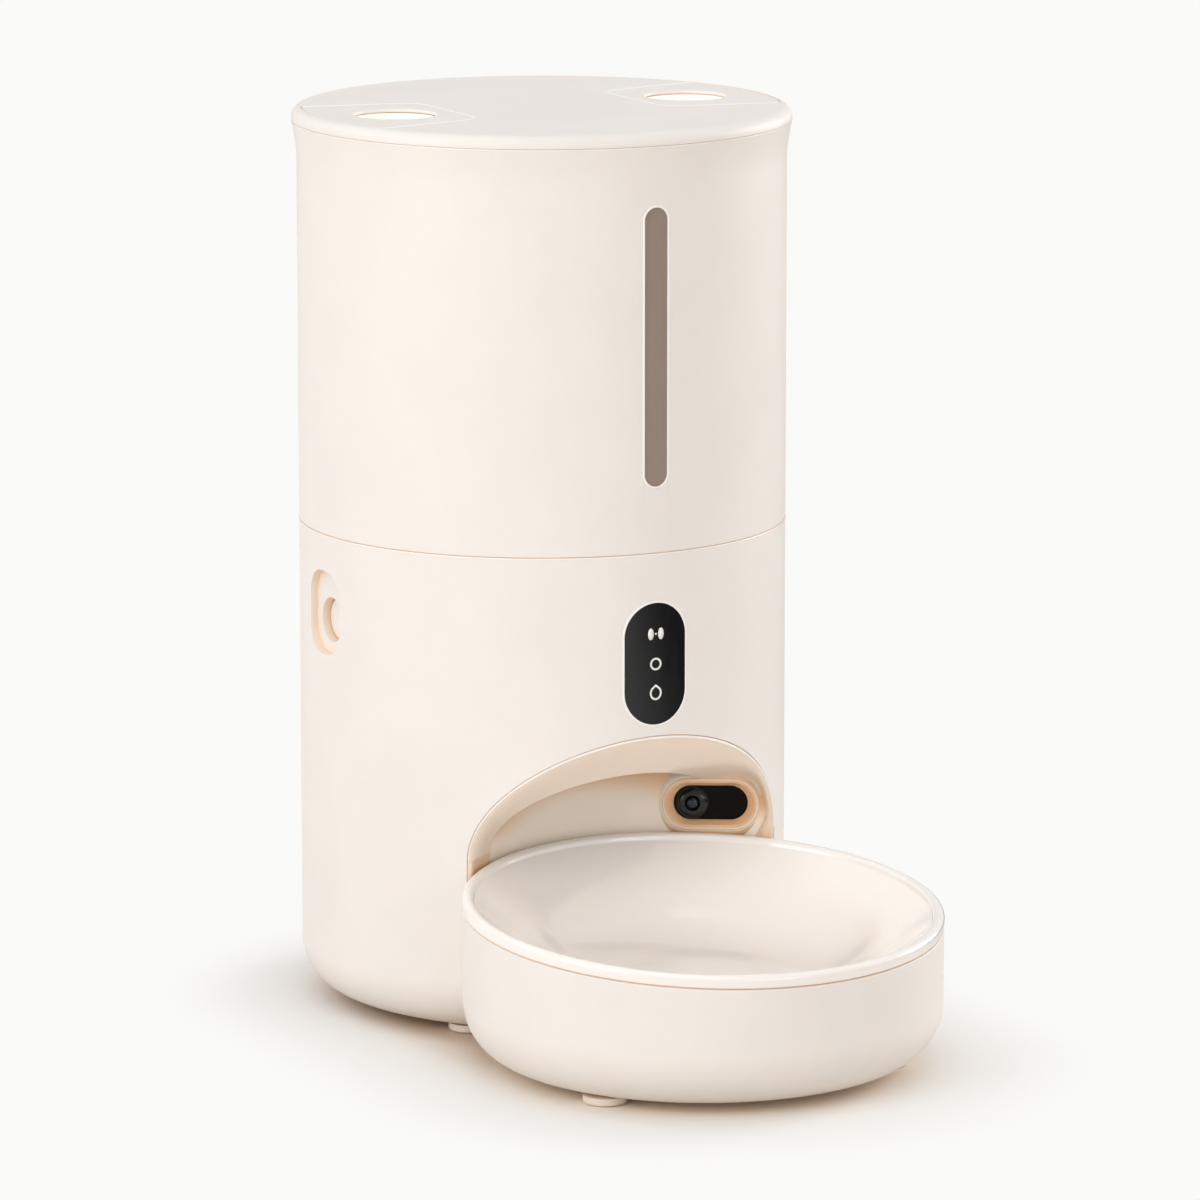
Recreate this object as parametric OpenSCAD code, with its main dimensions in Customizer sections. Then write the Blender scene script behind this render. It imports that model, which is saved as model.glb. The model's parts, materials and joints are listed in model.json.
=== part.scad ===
// Automatic pet feeder: a round tower with a lift-off hopper and lid, an arched outlet
// with a camera, and a tilted bowl on a tray that nests into the tower's foot.
// Millimetres, +Z up, front towards -Y. The origin is on the floor, under the middle
// of the footprint. Pieces of the tower are drawn about the tower's own axis.

/* [Tower] */
// Outer diameter of the tower
tower_d = 190; // [184:1:196]
// Height of the seam between base and hopper
base_top = 190.5; // [188:0.5:198]
// Height of the seam between hopper and lid
hopper_top = 346.5; // [340:0.5:356]
// Wall of the moulded shells
shell_t = 2.5; // [2:0.1:2.8]
// Rounding of the tower's bottom edge
tower_round = 20; // [17:1:22]
// Gap seen where two casings meet
seam = 0.3; // [0.2:0.05:0.5]

/* [Feet] */
// Height of the feet
foot_h = 3; // [2:0.5:4]
// Diameter of the feet
foot_d = 17; // [14:1:18]

/* [Hopper] */
// How far the hopper's top flares out
flare = 2; // [1:0.5:2.5]
// Height of the flare
flare_h = 16; // [10:1:20]
// Width of the window
window_w = 10; // [8:0.5:14]
// Distance from the hopper's top down to the window
window_drop = 23.5; // [18:0.5:40]
// Height of the window's lower end above the base
window_rise = 25.5; // [24:0.5:30]
// Opening at the bottom of the funnel
funnel_d = 106; // [100:1:108]

/* [Lid] */
// How far the lid stands out past the hopper's flared top
lid_overhang = 0; // [0:0.1:0.5]
// Height of the lid's edge
lid_h = 5; // [4.5:0.1:6]
// Rounding of the lid's upper edge
lid_round = 4; // [2:0.5:4]
// Diameter of the finger holes
finger_d = 32; // [28:1:34]
// Distance of each finger hole's middle from the lid's edge
finger_edge = 34; // [33:0.5:36]
// How far a lid latch slides inwards
latch_travel = 5; // [3:0.5:6]
// Thickness of the latch covers set into the lid
cover_t = 1.5; // [1.2:0.1:1.8]

/* [Control panel] */
// Width of the panel
panel_w = 26.4; // [24:0.2:30]
// Height of the panel
panel_h = 47.6; // [44:0.2:50]
// Distance from the base's top down to the panel's middle
panel_drop = 42.9; // [41.6:0.1:44.4]

/* [Outlet] */
// Width of the arch on the tower's face
arch_w = 134; // [130:1:136]
// Gap between the arch's top and the panel
arch_gap = 4.2; // [3.8:0.1:6]
// Height where the arch starts to curve
arch_z = 71.6; // [70:0.2:73]
// Width of the inner lip
lip_w = 104; // [100:1:108]
// How far the inner lip's top lies below the arch's top
lip_drop = 18.5; // [17:0.5:20]
// How far the inner lip lies behind the tower's face
lip_depth = 17; // [15:0.5:18]

/* [Bowl] */
// Distance from the tower's face to the bowl's axis
bowl_reach = 38.6; // [37:0.2:41]
// Diameter of the bowl's rim
bowl_d = 183; // [180:0.5:184]
// Height of the rim's middle above the floor
rim_z = 62.6; // [61:0.2:64]
// Forward tilt of the rim
bowl_tilt = 4.76; // [3:0.1:5]
// Height of the rim band
rim_h = 4.7; // [4:0.1:5.5]
// Depth of the bowl inside
bowl_depth = 34; // [30:0.5:36]
// Wall of the bowl
bowl_t = 3; // [2.5:0.1:3.5]
// Rounding of the tray's bottom edge
tray_round = 22; // [18:1:24]
// Wall of the tray
tray_t = 2.5; // [2:0.1:3]

/* [Camera] */
// Width of the camera bezel
camera_w = 36; // [34:0.5:38]
// Height of the camera bezel
camera_h = 18.6; // [17:0.2:19]
// Height of the camera's middle
camera_z = 80.2; // [80:0.1:81.5]
// Turn of the camera round the bowl, from the back to the right
camera_turn = 30; // [26:1:32]
// Diameter of the lens ring
lens_d = 14; // [12:0.5:14.5]

/* [Release buttons] */
// Diameter of the buttons
button_d = 17; // [15:0.5:18]
// Width of the recess round a button
recess_w = 26; // [24:0.5:28]
// Height of the recess round a button
recess_h = 33; // [31:0.5:34]
// Depth of the recess
recess_depth = 3.8; // [3:0.1:4]
// Depth of the button below the recess floor
button_sink = 2.9; // [2:0.1:3.8]
// Distance from the base's top down to the buttons
button_drop = 34; // [33:0.5:35]
// How far a button pushes in
button_travel = 4; // [3:0.5:4.5]

/* [Rotor] */
// Inner diameter of the rotor housing
drum_d = 120; // [116:1:122]
// Number of vanes
vanes = 6; // [5:1:8]
// Diameter of the rotor shaft
shaft_d = 6; // [5:0.5:7]

/* [Hidden] */

$fn = 96;
eps = 0.01;
left = -1;
right = 1;
fit = 0.25;
running = 0.05;

tower_r = tower_d / 2;
inner_r = tower_r - shell_t;
lid_r = tower_r + flare + lid_overhang;
bowl_r = bowl_d / 2;
bowl_gap = tower_r + bowl_reach;
finger_x = lid_r - finger_edge;
panel_z = base_top - panel_drop;
arch_rise = panel_z - panel_h / 2 - arch_gap - arch_z;
lip_rise = arch_rise - lip_drop;
button_z = base_top - button_drop;
window_z = base_top + window_rise;
window_h = hopper_top - window_drop - window_z;
tray_r = bowl_r - 0.3;
tower_y = (bowl_gap + tray_r - lid_r) / 2;

recess_r = tray_r + 2.7;
liner_t = 2.5;
liner_back = recess_r + liner_t;

shell_bottom = foot_h;
ring_r = tower_r - tower_round - 7;
plate_z = shell_bottom + shell_t;
plate_t = 2.5;
plate_r = tower_r - tower_round - 0.5;
plate_post = 9.5;

drum_r = drum_d / 2;
drum_t = 2.5;
deck_t = 2.5;
deck_z = base_top - 17;
drum_floor_z = deck_z - 42.5;
drum_floor_t = 3;
deck_ledge = 4.5;

gear_module = 1;
big_teeth = 36;
small_teeth = 12;
gear_step = gear_module * (big_teeth + small_teeth) / 2;
gear_w = 5;
gear_room = 27;
gear_plate_z = drum_floor_z - gear_room;
gear_plate_t = 3;
layer_a_z = gear_plate_z + gear_plate_t + 3;
layer_b_z = layer_a_z + gear_w + 1.5;
idler_y = gear_step;
motor_y = 2 * gear_step;
motor_r = 12;
motor_h = 38;
motor_shaft_r = 1.5;
motor_shaft_in = 7;
idler_pin_r = 2;
pillar_r = 3.5;
pillar_x = 24.5;

hopper_z = base_top + seam / 2;
hopper_end = hopper_top - seam / 2;
spigot_r = inner_r - 0.4;
spigot_t = 2.5;
spigot_h = 8;
funnel_t = 2.2;
funnel_top = window_z - 4;
funnel_bottom = deck_z + deck_t + 2.5;

lid_z = hopper_top + seam / 2;
lid_end = hopper_top + lid_h;
skirt_r = inner_r - 6;
skirt_t = 2.5;
tray_top = lid_z - 16;
lid_tray_t = 2.5;
cover_in_x = finger_x - 23;
cover_corner = 10;
cover_half = 27;
cover_slope = 11.7;
cover_rim = lid_r - lid_round;
cup_wall = 2;
cup_r = finger_d / 2 + 1.5;
cup_floor_z = tray_top + 1;
tongue_w = 16;
tongue_h = 4;
tongue_z = cup_floor_z;

rim_side = 4.6;
dish_slope = 40;
holder_bottom = foot_h;

// Points along a circular arc
function arc(cx, cy, r, from, to, steps = 12) =
    [for (i = [0 : steps]) let (a = from + (to - from) * i / steps) [cx + r * cos(a), cy + r * sin(a)]];

// Outline of an upright pill
function pill(w, h, steps = 20) =
    concat(arc(0, h / 2 - w / 2, w / 2, 0, 180, steps), arc(0, -h / 2 + w / 2, w / 2, 180, 360, steps));

// Outline of a rectangle with round corners
function rounded(w, h, r, steps = 8) =
    concat(arc(w / 2 - r, h / 2 - r, r, 0, 90, steps), arc(-w / 2 + r, h / 2 - r, r, 90, 180, steps),
        arc(-w / 2 + r, -h / 2 + r, r, 180, 270, steps), arc(w / 2 - r, -h / 2 + r, r, 270, 360, steps));

// Outline of a ring's sector about the -Y direction
function sector(r1, r2, half, steps = 12) =
    concat(arc(0, 0, r2, -90 - half, -90 + half, steps), arc(0, 0, r1, -90 + half, -90 - half, steps));

// Outline of an involute gear, its first tooth on the +X side
pressure = 25;
backlash = 0.25;
function inv(a) = tan(a) * 180 / PI - a;
function flank(r, rb) = r <= rb ? 0 : acos(rb / r);
function half_tooth(r, teeth, m) =
    let (rp = m * teeth / 2, rb = rp * cos(pressure))
    (90 - backlash / m * 45 / PI * 2) / teeth + inv(pressure) - inv(flank(r, rb));
function gear_points(teeth, m) =
    let (rp = m * teeth / 2, root = rp - 1.15 * m, tip = rp + 0.85 * m, steps = 4)
    [for (k = [0 : teeth - 1]) let (mid = k * 360 / teeth)
        for (s = [-1, 1]) for (i = [0 : steps])
            let (t = s < 0 ? i / steps : 1 - i / steps,
                r = root + (tip - root) * t,
                a = mid + s * half_tooth(max(r, rp * cos(pressure)), teeth, m))
            [r * cos(a), r * sin(a)]];

// Upright prism from an outline drawn as seen from the front
module front_prism(points, from_y, to_y) {
    translate([0, to_y, 0]) rotate([90, 0, 0]) linear_extrude(to_y - from_y) polygon(points);
}

// Prism from an outline drawn as seen from the side, running along X
module side_prism(points, from_x, to_x) {
    translate([from_x, 0, 0]) rotate([90, 0, 90]) linear_extrude(to_x - from_x) polygon(points);
}

module tube(r_out, r_in, h) {
    difference() {
        cylinder(r = r_out, h = h);
        translate([0, 0, -1]) cylinder(r = r_in, h = h + 2);
    }
}

// Coil spring along +Z
module coil(length, coil_r, wire_r, turns) {
    per_turn = 12;
    sides = 6;
    rings = turns * per_turn;
    points = [for (i = [0 : rings]) for (j = [0 : sides - 1])
        let (a = i * 360 / per_turn, b = j * 360 / sides,
            r = coil_r + wire_r * cos(b),
            z = wire_r * 1.2 + (length - 2.4 * wire_r) * i / rings + wire_r * sin(b))
        [r * cos(a), r * sin(a), z]];
    walls = [for (i = [0 : rings - 1]) for (j = [0 : sides - 1])
        let (k = (j + 1) % sides, p = i * sides, q = p + sides)
        each [[p + j, q + j, q + k], [p + j, q + k, p + k]]];
    ends = [[for (j = [0 : sides - 1]) j], [for (j = [0 : sides - 1]) rings * sides + sides - 1 - j]];
    polyhedron(points, concat(walls, ends));
}

module at_tower() { translate([0, tower_y, 0]) children(); }
module at_bowl() { translate([0, tower_y - bowl_gap, 0]) children(); }
module bowl_axis() { translate([0, -bowl_gap, 0]) children(); }

// The camera's own frame: +Y points from the bowl's axis to the wall, Z is up
module at_camera() {
    translate([0, -bowl_gap, camera_z]) rotate([0, 0, -camera_turn]) children();
}

// A fastener pointing up, its head at the bottom
module screw(r, length, head_r, head_h) {
    cylinder(r = r, h = length);
    difference() {
        translate([0, 0, -head_h]) cylinder(r = head_r, h = head_h);
        translate([0, 0, -head_h - 1]) cylinder(r = head_r * 0.5, h = 1 + head_h * 0.6, $fn = 6);
    }
}

// The tower's whole outer form, less a little all round
module tower_form(less) {
    r = tower_r - less;
    turn = tower_round - less;
    rotate_extrude() polygon(concat([[0, shell_bottom]],
        arc(tower_r - tower_round, shell_bottom + tower_round, turn, -90, 0),
        [[r, base_top], [0, base_top]]));
}

arch_half = arch_w / 2;
function arch_outline(half, rise) =
    concat([[half, -1]], arc_ellipse(half, rise), [[-half, -1]]);
function arc_ellipse(half, rise, steps = 48) =
    [for (i = [0 : steps]) let (a = 180 * i / steps) [half * cos(a), arch_z + rise * sin(a)]];

button_face = tower_r - recess_depth - button_sink;
button_round = 1.6;
boss_end = button_face - 11;
button_end = boss_end - 0.3;
boss_r = button_d / 2 + fit + 2;
recess_corner = 11;
recess_lift = 3.2;
recess_mid = button_z + recess_lift;

socket_w = 9.2;
socket_h = 3.4;
socket_z = 26;
speaker_drop = 40.5;
speaker_z = base_top - speaker_drop;
speaker_r = 17;
speaker_y = tower_r - 9;

board_back = 16.5;
board_drop = 2;
board_y = inner_r - board_back;
board_w = 72;
board_h = 56;
board_z = gear_plate_z - board_drop - board_h / 2;
board_t = 1.6;
post_x = 30;
post_z = 22;

base_screw_r = ring_r + 4;
base_screw_at = [-160, -88, 88, 160];
deck_screw_at = [45, 135, 225, 315];
deck_screw_r = inner_r - deck_ledge / 2 - 0.2;

module base_wall() {
    z_end = base_top - seam / 2;
    rotate_extrude() polygon(concat(
        [[ring_r, shell_bottom]],
        arc(tower_r - tower_round, shell_bottom + tower_round, tower_round, -90, 0),
        [[tower_r, z_end], [inner_r, z_end], [inner_r, deck_z], [inner_r - deck_ledge, deck_z],
            [inner_r - deck_ledge, deck_z - 3], [inner_r, deck_z - 3 - deck_ledge]],
        arc(tower_r - tower_round, shell_bottom + tower_round, tower_round - shell_t, 0, -90),
        [[ring_r, plate_z]]));
}

module button_cup(side) {
    floor_x = tower_r - recess_depth;
    intersection() {
        union() {
            translate([0, 0, recess_mid])
                side_prism(rounded(recess_w + 2 * shell_t, recess_h + 2 * shell_t, recess_corner + shell_t),
                    side > 0 ? floor_x - shell_t : -tower_r, side > 0 ? tower_r : -floor_x + shell_t);
            translate([side * boss_end, 0, button_z]) rotate([0, side * 90, 0])
                cylinder(r = boss_r, h = floor_x - boss_end);
        }
        tower_form(0.2);
    }
}

module button_hole(side) {
    floor_x = tower_r - recess_depth;
    translate([0, 0, recess_mid])
        side_prism(rounded(recess_w, recess_h, recess_corner),
            side > 0 ? floor_x : -tower_r - 1, side > 0 ? tower_r + 1 : -floor_x);
    translate([side * (boss_end - 1), 0, button_z]) rotate([0, side * 90, 0])
        cylinder(r = button_d / 2 + fit, h = tower_r);
}

module speaker_holes() {
    hole_r = 1.2;
    pitch = 4.4;
    for (row = [-3 : 3]) for (k = [0 : 6 - abs(row)])
        translate([(k - (6 - abs(row)) / 2) * pitch, 0, speaker_z + row * pitch * sin(60)])
            rotate([-90, 0, 0]) translate([0, 0, tower_r - 12]) cylinder(r = hole_r, h = 20, $fn = 16);
}

module base_shell() {
    color("#f3ebe2") difference() {
        union() {
            base_wall();
            for (side = [left, right]) button_cup(side);
            for (sx = [-1, 1]) for (sz = [-1, 1]) intersection() {
                translate([sx * post_x, board_y + board_t, board_z + sz * post_z])
                    rotate([-90, 0, 0]) cylinder(r = 3, h = tower_r);
                tower_form(0.2);
            }
        }
        intersection() {
            front_prism(arch_outline(arch_half, arch_rise), -tower_r - 1, 0);
            bowl_axis() cylinder(r = liner_back + 0.2, h = base_top);
        }
        translate([0, 0, panel_z]) front_prism(pill(panel_w, panel_h), -tower_r - 1, -inner_r + 12);
        intersection() {
            translate([0, 0, panel_z]) front_prism(pill(panel_w + 2 * panel_flange + 0.8,
                panel_h + 2 * panel_flange + 0.8), -tower_r, -inner_r + 12);
            cylinder(r = inner_r, h = base_top);
        }
        for (side = [left, right]) button_hole(side);
        translate([0, 0, socket_z]) rotate([90, 0, 0]) translate([0, 0, -tower_r - 1])
            linear_extrude(12) rotate(90) polygon(pill(socket_h, socket_w, 10));
        speaker_holes();
        for (a = base_screw_at) rotate(a - 90) translate([base_screw_r, 0, 0])
            cylinder(r = 1.7, h = plate_z + 1, $fn = 32);
        for (a = deck_screw_at) rotate(a) translate([deck_screw_r, 0, deck_z - 6])
            cylinder(r = 1.2, h = 10, $fn = 32);
    }
}

battery_w = 58;
battery_d = 66;
battery_y = 14;
cell_r = 7.2;
cell_l = 50.4;
cells = 4;
cell_pitch = (battery_d - 4) / cells;
door_t = 2;

module base_plate() {
    color("#d8d2ca") difference() {
        union() {
            translate([0, 0, plate_z]) cylinder(r = plate_r, h = plate_t);
            for (a = base_screw_at) rotate(a - 90) translate([base_screw_r, 0, plate_z])
                intersection() {
                    cylinder(r = 3.4, h = plate_post);
                    translate([-base_screw_r, 0, 0]) cylinder(r = plate_r, h = plate_post);
                }
        }
        bowl_axis() cylinder(r = liner_back + 0.4, h = 30);
        translate([-battery_w / 2, battery_y - battery_d / 2, 0]) cube([battery_w, battery_d, 30]);
        for (a = base_screw_at) rotate(a - 90) translate([base_screw_r, 0, 0])
            cylinder(r = 1.5, h = plate_z + plate_t + 6, $fn = 32);
    }
}

module base_screws() {
    color("#9a9ca0") for (a = base_screw_at) rotate(a - 90)
        translate([base_screw_r, 0, shell_bottom]) screw(1.45, 9, 2.8, 1.6);
}

feet_at = [-135, -50, 50, 135];
feet_r = tower_r - tower_round - 3;

module foot() {
    rotate_extrude() polygon(concat([[0, 0]], arc(foot_d / 2 - 1, 1, 1, -90, 0, 4),
        [[foot_d / 2, foot_h], [0, foot_h]]));
}

module tower_feet() {
    color("#efe6da") for (a = feet_at) rotate(a - 90) translate([feet_r, 0, 0]) foot();
}

// Section of the hood: share of the way from arch to lip, and depth behind the tower's face.
// The first hood_front points are its visible face, the rest its back.
hood_section = [[0.015, 0.1], [0.05, 0.7], [0.12, 1.9], [0.28, 4.6], [0.5, 8.3], [0.75, 12.6], [0.92, 15.6],
    [0.985, 16.9], [1, 17.8], [0.975, 18.7], [0.92, 19], [0.86, 18.4], [0.6, 13.4], [0.3, 8], [0.13, 5.2],
    [-0.1, 5], [-0.1, 2.9], [0.015, 2.5]];
hood_front = 9;
hood_section_depth = 17;
hood_steps = 48;
// Gaps that keep the hood's face and back in front of the recess wall
hood_face_gap = 0.7;
hood_back_gap = 0.25;
// Angles above the foot of the arch between which the hood's fixing flange grows to its full width
flange_from = 14;
flange_to = 34;

function hood_point(j, a) = let (
    s = hood_section[j],
    grown = min(1, max(0.05, (min(a, 180 - a) - flange_from) / (flange_to - flange_from))),
    share = s[0] < 0 ? s[0] * grown : s[0],
    half = arch_half + (lip_w / 2 - arch_half) * share,
    rise = arch_rise + (lip_rise - arch_rise) * share,
    r = tower_r - (s[1] < 3 ? s[1] : s[1] * lip_depth / hood_section_depth),
    x = half * cos(a),
    from_bowl = bowl_gap - sqrt(r * r - x * x),
    limit = recess_r - (j < hood_front ? hood_face_gap : hood_back_gap),
    held = min(1, limit / norm([x, from_bowl])))
    [x * held, from_bowl * held - bowl_gap, arch_z + rise * sin(a)];

module hood_loft() {
    n = len(hood_section);
    points = [for (i = [0 : hood_steps]) for (j = [0 : n - 1]) hood_point(j, 180 * i / hood_steps)];
    walls = [for (i = [0 : hood_steps - 1]) for (j = [0 : n - 1])
        let (k = (j + 1) % n, p = i * n, q = p + n)
        each [[p + j, q + k, q + j], [p + j, p + k, q + k]]];
    ends = [[for (j = [0 : n - 1]) n - 1 - j], [for (j = [0 : n - 1]) hood_steps * n + j]];
    polyhedron(points, concat(walls, ends));
}

pod_w = camera_w + 4;
pod_h = camera_h + 3.2;
pod_proud = 2;

module pod_prism(w, h, from_r, to_r) {
    at_camera() front_prism([for (p = pill(h, w)) [p[1], p[0]]], from_r, to_r);
}

module outlet_hood() {
    color("#ece0d4") difference() {
        hood_loft();
        pod_prism(pod_w + 0.6, pod_h + 0.6, recess_r - 22, recess_r + 10);
    }
}

chute_w = 48;
chute_t = 2;
chute_top_back = -19;
chute_top_front = -57;
chute_end_back = -(bowl_gap - recess_r) - 1.4;
chute_end_front = -tower_r + lip_depth + 4;
chute_z = arch_z + lip_rise + 3;
liner_top = chute_z - seam;

module recess_liner() {
    color("#eadccd") difference() {
        union() {
            intersection() {
                bowl_axis() translate([0, 0, shell_bottom]) tube(liner_back, recess_r, liner_top - shell_bottom);
                union() {
                    intersection() {
                        tower_form(0.1);
                        translate([-arch_half + seam, -tower_r, 0]) cube([arch_w - 2 * seam, tower_r, arch_z]);
                    }
                    translate([0, 0, arch_z - eps]) cylinder(r = inner_r - fit, h = base_top - arch_z);
                }
            }
            pod_prism(pod_w, pod_h, recess_r - pod_proud, recess_r + 1);
        }
        pod_prism(camera_w + 0.2, camera_h + 0.2, recess_r - 10, recess_r + 20);
    }
}

module food_chute() {
    zt = drum_floor_z;
    inner = [[chute_top_back, zt], [chute_top_front, zt], [chute_end_front, chute_z], [chute_end_back, chute_z]];
    outer = [[chute_top_back + 3, zt], [chute_top_front - 3, zt], [chute_end_front - 2.6, chute_z],
        [chute_end_back + 2.6, chute_z]];
    color("#d9d4cc") difference() {
        side_prism(outer, -chute_w / 2 - chute_t, chute_w / 2 + chute_t);
        side_prism([inner[0] + [0, 1], inner[1] + [0, 1], inner[2] - [0, 1], inner[3] - [0, 1]],
            -chute_w / 2, chute_w / 2);
    }
}

module food_sensors() {
    y = (chute_top_back + chute_top_front + chute_end_back + chute_end_front) / 4;
    z = (drum_floor_z + chute_z) / 2;
    color("#2c5a3c") for (side = [left, right])
        translate([side * (chute_w / 2 + chute_t + 1), y, z]) {
            cube([2, 14, 12], center = true);
            translate([side * 2, 0, 0]) rotate([0, 90, 0]) cylinder(r = 2.5, h = 3, center = true, $fn = 32);
        }
}

arm_w = 10;
arm_t = 2.5;
arm_x = button_end - arm_t;
spring_seat = drum_r + drum_t + 2;
bush_r = shaft_d / 2 + 2;
bush_flange_r = bush_r + 1.5;

module rotor_housing() {
    z = drum_floor_z;
    color("#dcd6cf") difference() {
        union() {
            rotate_extrude() polygon([[0, z], [drum_r + drum_t, z], [drum_r + drum_t, deck_z],
                [inner_r - fit, deck_z], [inner_r - fit, deck_z + deck_t], [drum_r, deck_z + deck_t],
                [drum_r, z + drum_floor_t], [0, z + drum_floor_t]]);
            for (side = [left, right]) translate([side * (drum_r + 1), 0, button_z])
                rotate([0, side * 90, 0]) cylinder(r = 7, h = spring_seat - drum_r - 1);
            translate([0, idler_y, z - 3]) cylinder(r = 5, h = 4);
        }
        translate([0, 0, z - 1]) cylinder(r = bush_r + 0.02, h = 10);
        translate([0, 0, z - 1]) linear_extrude(drum_floor_t + 2) polygon(sector(22, 55, 24));
        translate([0, idler_y, z - 4]) cylinder(r = idler_pin_r + 0.02, h = 5);
        for (side = [left, right]) translate([side * (arm_x - 1), 0, deck_z + deck_t / 2])
            cube([2 * arm_t + 2 * button_travel + 4, arm_w + 3, deck_t + 2], center = true);
        for (side = [left, right]) translate([side * tower_r, 0, deck_z])
            cube([2 * (recess_depth + shell_t + fit), recess_w + 2 * (shell_t + fit), 4 * deck_t], center = true);
        for (a = deck_screw_at) rotate(a) translate([deck_screw_r, 0, deck_z - 1])
            cylinder(r = 1.6, h = 10, $fn = 32);
        for (sx = [-1, 1]) for (y = pillar_y) translate([sx * pillar_x, y, z - 1])
            cylinder(r = 1.2, h = 3.4, $fn = 32);
    }
}

module deck_screws() {
    color("#9a9ca0") for (a = deck_screw_at) rotate(a)
        translate([deck_screw_r, 0, deck_z + deck_t]) rotate([180, 0, 0]) screw(1.15, 7, 2.2, 1.6);
}

pillar_front = 2;
pillar_back = 62;
pillar_y = [pillar_front, pillar_back];
plate_side = 5;
plate_end = 11;
plate_corner = 6;

module gear_plate() {
    z = gear_plate_z;
    color("#5a5d62") difference() {
        union() {
            translate([0, (pillar_y[0] + pillar_y[1]) / 2, z]) linear_extrude(gear_plate_t)
                polygon(rounded(2 * (pillar_x + plate_side), pillar_y[1] - pillar_y[0] + 2 * plate_end, plate_corner));
            for (sx = [-1, 1]) for (y = pillar_y) translate([sx * pillar_x, y, z + 1])
                cylinder(r = pillar_r, h = drum_floor_z - z - 1);
        }
        translate([0, 0, z - 1]) cylinder(r = bush_r + 0.02, h = 10);
        translate([0, idler_y, z - 1]) cylinder(r = idler_pin_r + 0.02, h = 10);
        translate([0, motor_y, z - 1]) cylinder(r = 5.2, h = 10);
        for (sx = [-1, 1]) for (y = pillar_y) translate([sx * pillar_x, y, z - 1])
            cylinder(r = 1.25, h = drum_floor_z - z + 2, $fn = 32);
    }
}

module gear_screws() {
    color("#9a9ca0") for (sx = [-1, 1]) for (y = pillar_y) translate([sx * pillar_x, y, gear_plate_z])
        screw(1.15, drum_floor_z - gear_plate_z + 1.8, 2.8, 1.8);
}

module shaft_bushes() {
    color("#b98a4e") {
        translate([0, 0, gear_plate_z - 2]) bush(gear_plate_t + 2);
        translate([0, 0, drum_floor_z + drum_floor_t + 1]) rotate([180, 0, 0]) bush(drum_floor_t + 1, 1);
    }
}

module bush(h, flange_t = 2) {
    difference() {
        union() {
            cylinder(r = bush_r, h = h);
            cylinder(r = bush_flange_r, h = flange_t);
        }
        translate([0, 0, -1]) cylinder(r = shaft_d / 2 + running, h = h + 2);
    }
}

module idler_pin() {
    color("#c4c7cb") translate([0, idler_y, gear_plate_z])
        cylinder(r = idler_pin_r, h = drum_floor_z - gear_plate_z);
}

module drive_motor() {
    z = gear_plate_z;
    color("#8d9096") translate([0, motor_y, 0]) difference() {
        union() {
            translate([0, 0, z - motor_h]) cylinder(r = motor_r, h = motor_h);
            translate([0, 0, z - eps]) cylinder(r = 5, h = 2);
            translate([0, 0, z - motor_h - 2]) cylinder(r = 4, h = 3);
            for (sx = [-1, 1]) translate([sx * 6 - 1, -0.4, z - motor_h - 5]) cube([2, 0.8, 6]);
        }
        translate([0, 0, z - 8]) cylinder(r = motor_shaft_r + running, h = 12, $fn = 48);
    }
}

module gear(teeth, h) {
    linear_extrude(h) polygon(gear_points(teeth, gear_module));
}

module output_gear() {
    color("#e9e4d6") difference() {
        union() {
            translate([0, 0, layer_a_z]) gear(big_teeth, gear_w);
            translate([0, 0, layer_a_z - 2.4]) cylinder(r = 7, h = 3);
        }
        translate([0, 0, layer_a_z - 4]) cylinder(r = shaft_d / 2 + 0.02, h = 20);
    }
}

module idler_gear() {
    color("#e9e4d6") translate([0, idler_y, 0]) difference() {
        union() {
            translate([0, 0, layer_a_z]) rotate(180 / small_teeth) gear(small_teeth, layer_b_z - layer_a_z + 1);
            translate([0, 0, layer_b_z]) gear(big_teeth, gear_w);
        }
        translate([0, 0, layer_a_z - 1]) cylinder(r = idler_pin_r + running, h = 20, $fn = 48);
    }
}

module motor_pinion() {
    color("#b98a4e") translate([0, motor_y, 0]) {
        translate([0, 0, layer_b_z - 1]) rotate(180 / small_teeth) gear(small_teeth, gear_w + 1.5);
        translate([0, 0, gear_plate_z - motor_shaft_in])
            cylinder(r = motor_shaft_r, h = layer_b_z - gear_plate_z + motor_shaft_in, $fn = 48);
    }
}

module rotor_shaft() {
    color("#c4c7cb") translate([0, 0, gear_plate_z - 3]) cylinder(r = shaft_d / 2, h = deck_z - gear_plate_z);
}

rotor_z = drum_floor_z + drum_floor_t + 1.6;
rotor_h = deck_z - rotor_z - 4;
hub_r = 12;
vane_t = 2.5;
vane_r = drum_r - 3;

module rotor() {
    color("#c9a88b") difference() {
        union() {
            translate([0, 0, rotor_z]) cylinder(r = hub_r, h = rotor_h);
            for (k = [0 : vanes - 1]) rotate(90 + k * 360 / vanes)
                translate([hub_r - 2, -vane_t / 2, rotor_z]) cube([vane_r - hub_r + 2, vane_t, rotor_h - 3]);
        }
        translate([0, 0, rotor_z - 1]) cylinder(r = shaft_d / 2 + 0.02, h = rotor_h + 2);
    }
}

module vane_tips() {
    tip_t = 1.6;
    color("#b9b3ab") for (k = [0 : vanes - 1]) rotate(90 + k * 360 / vanes)
        translate([vane_r, -tip_t / 2, rotor_z + 0.5]) cube([drum_r - vane_r - 0.5, tip_t, rotor_h - 4]);
}

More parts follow.
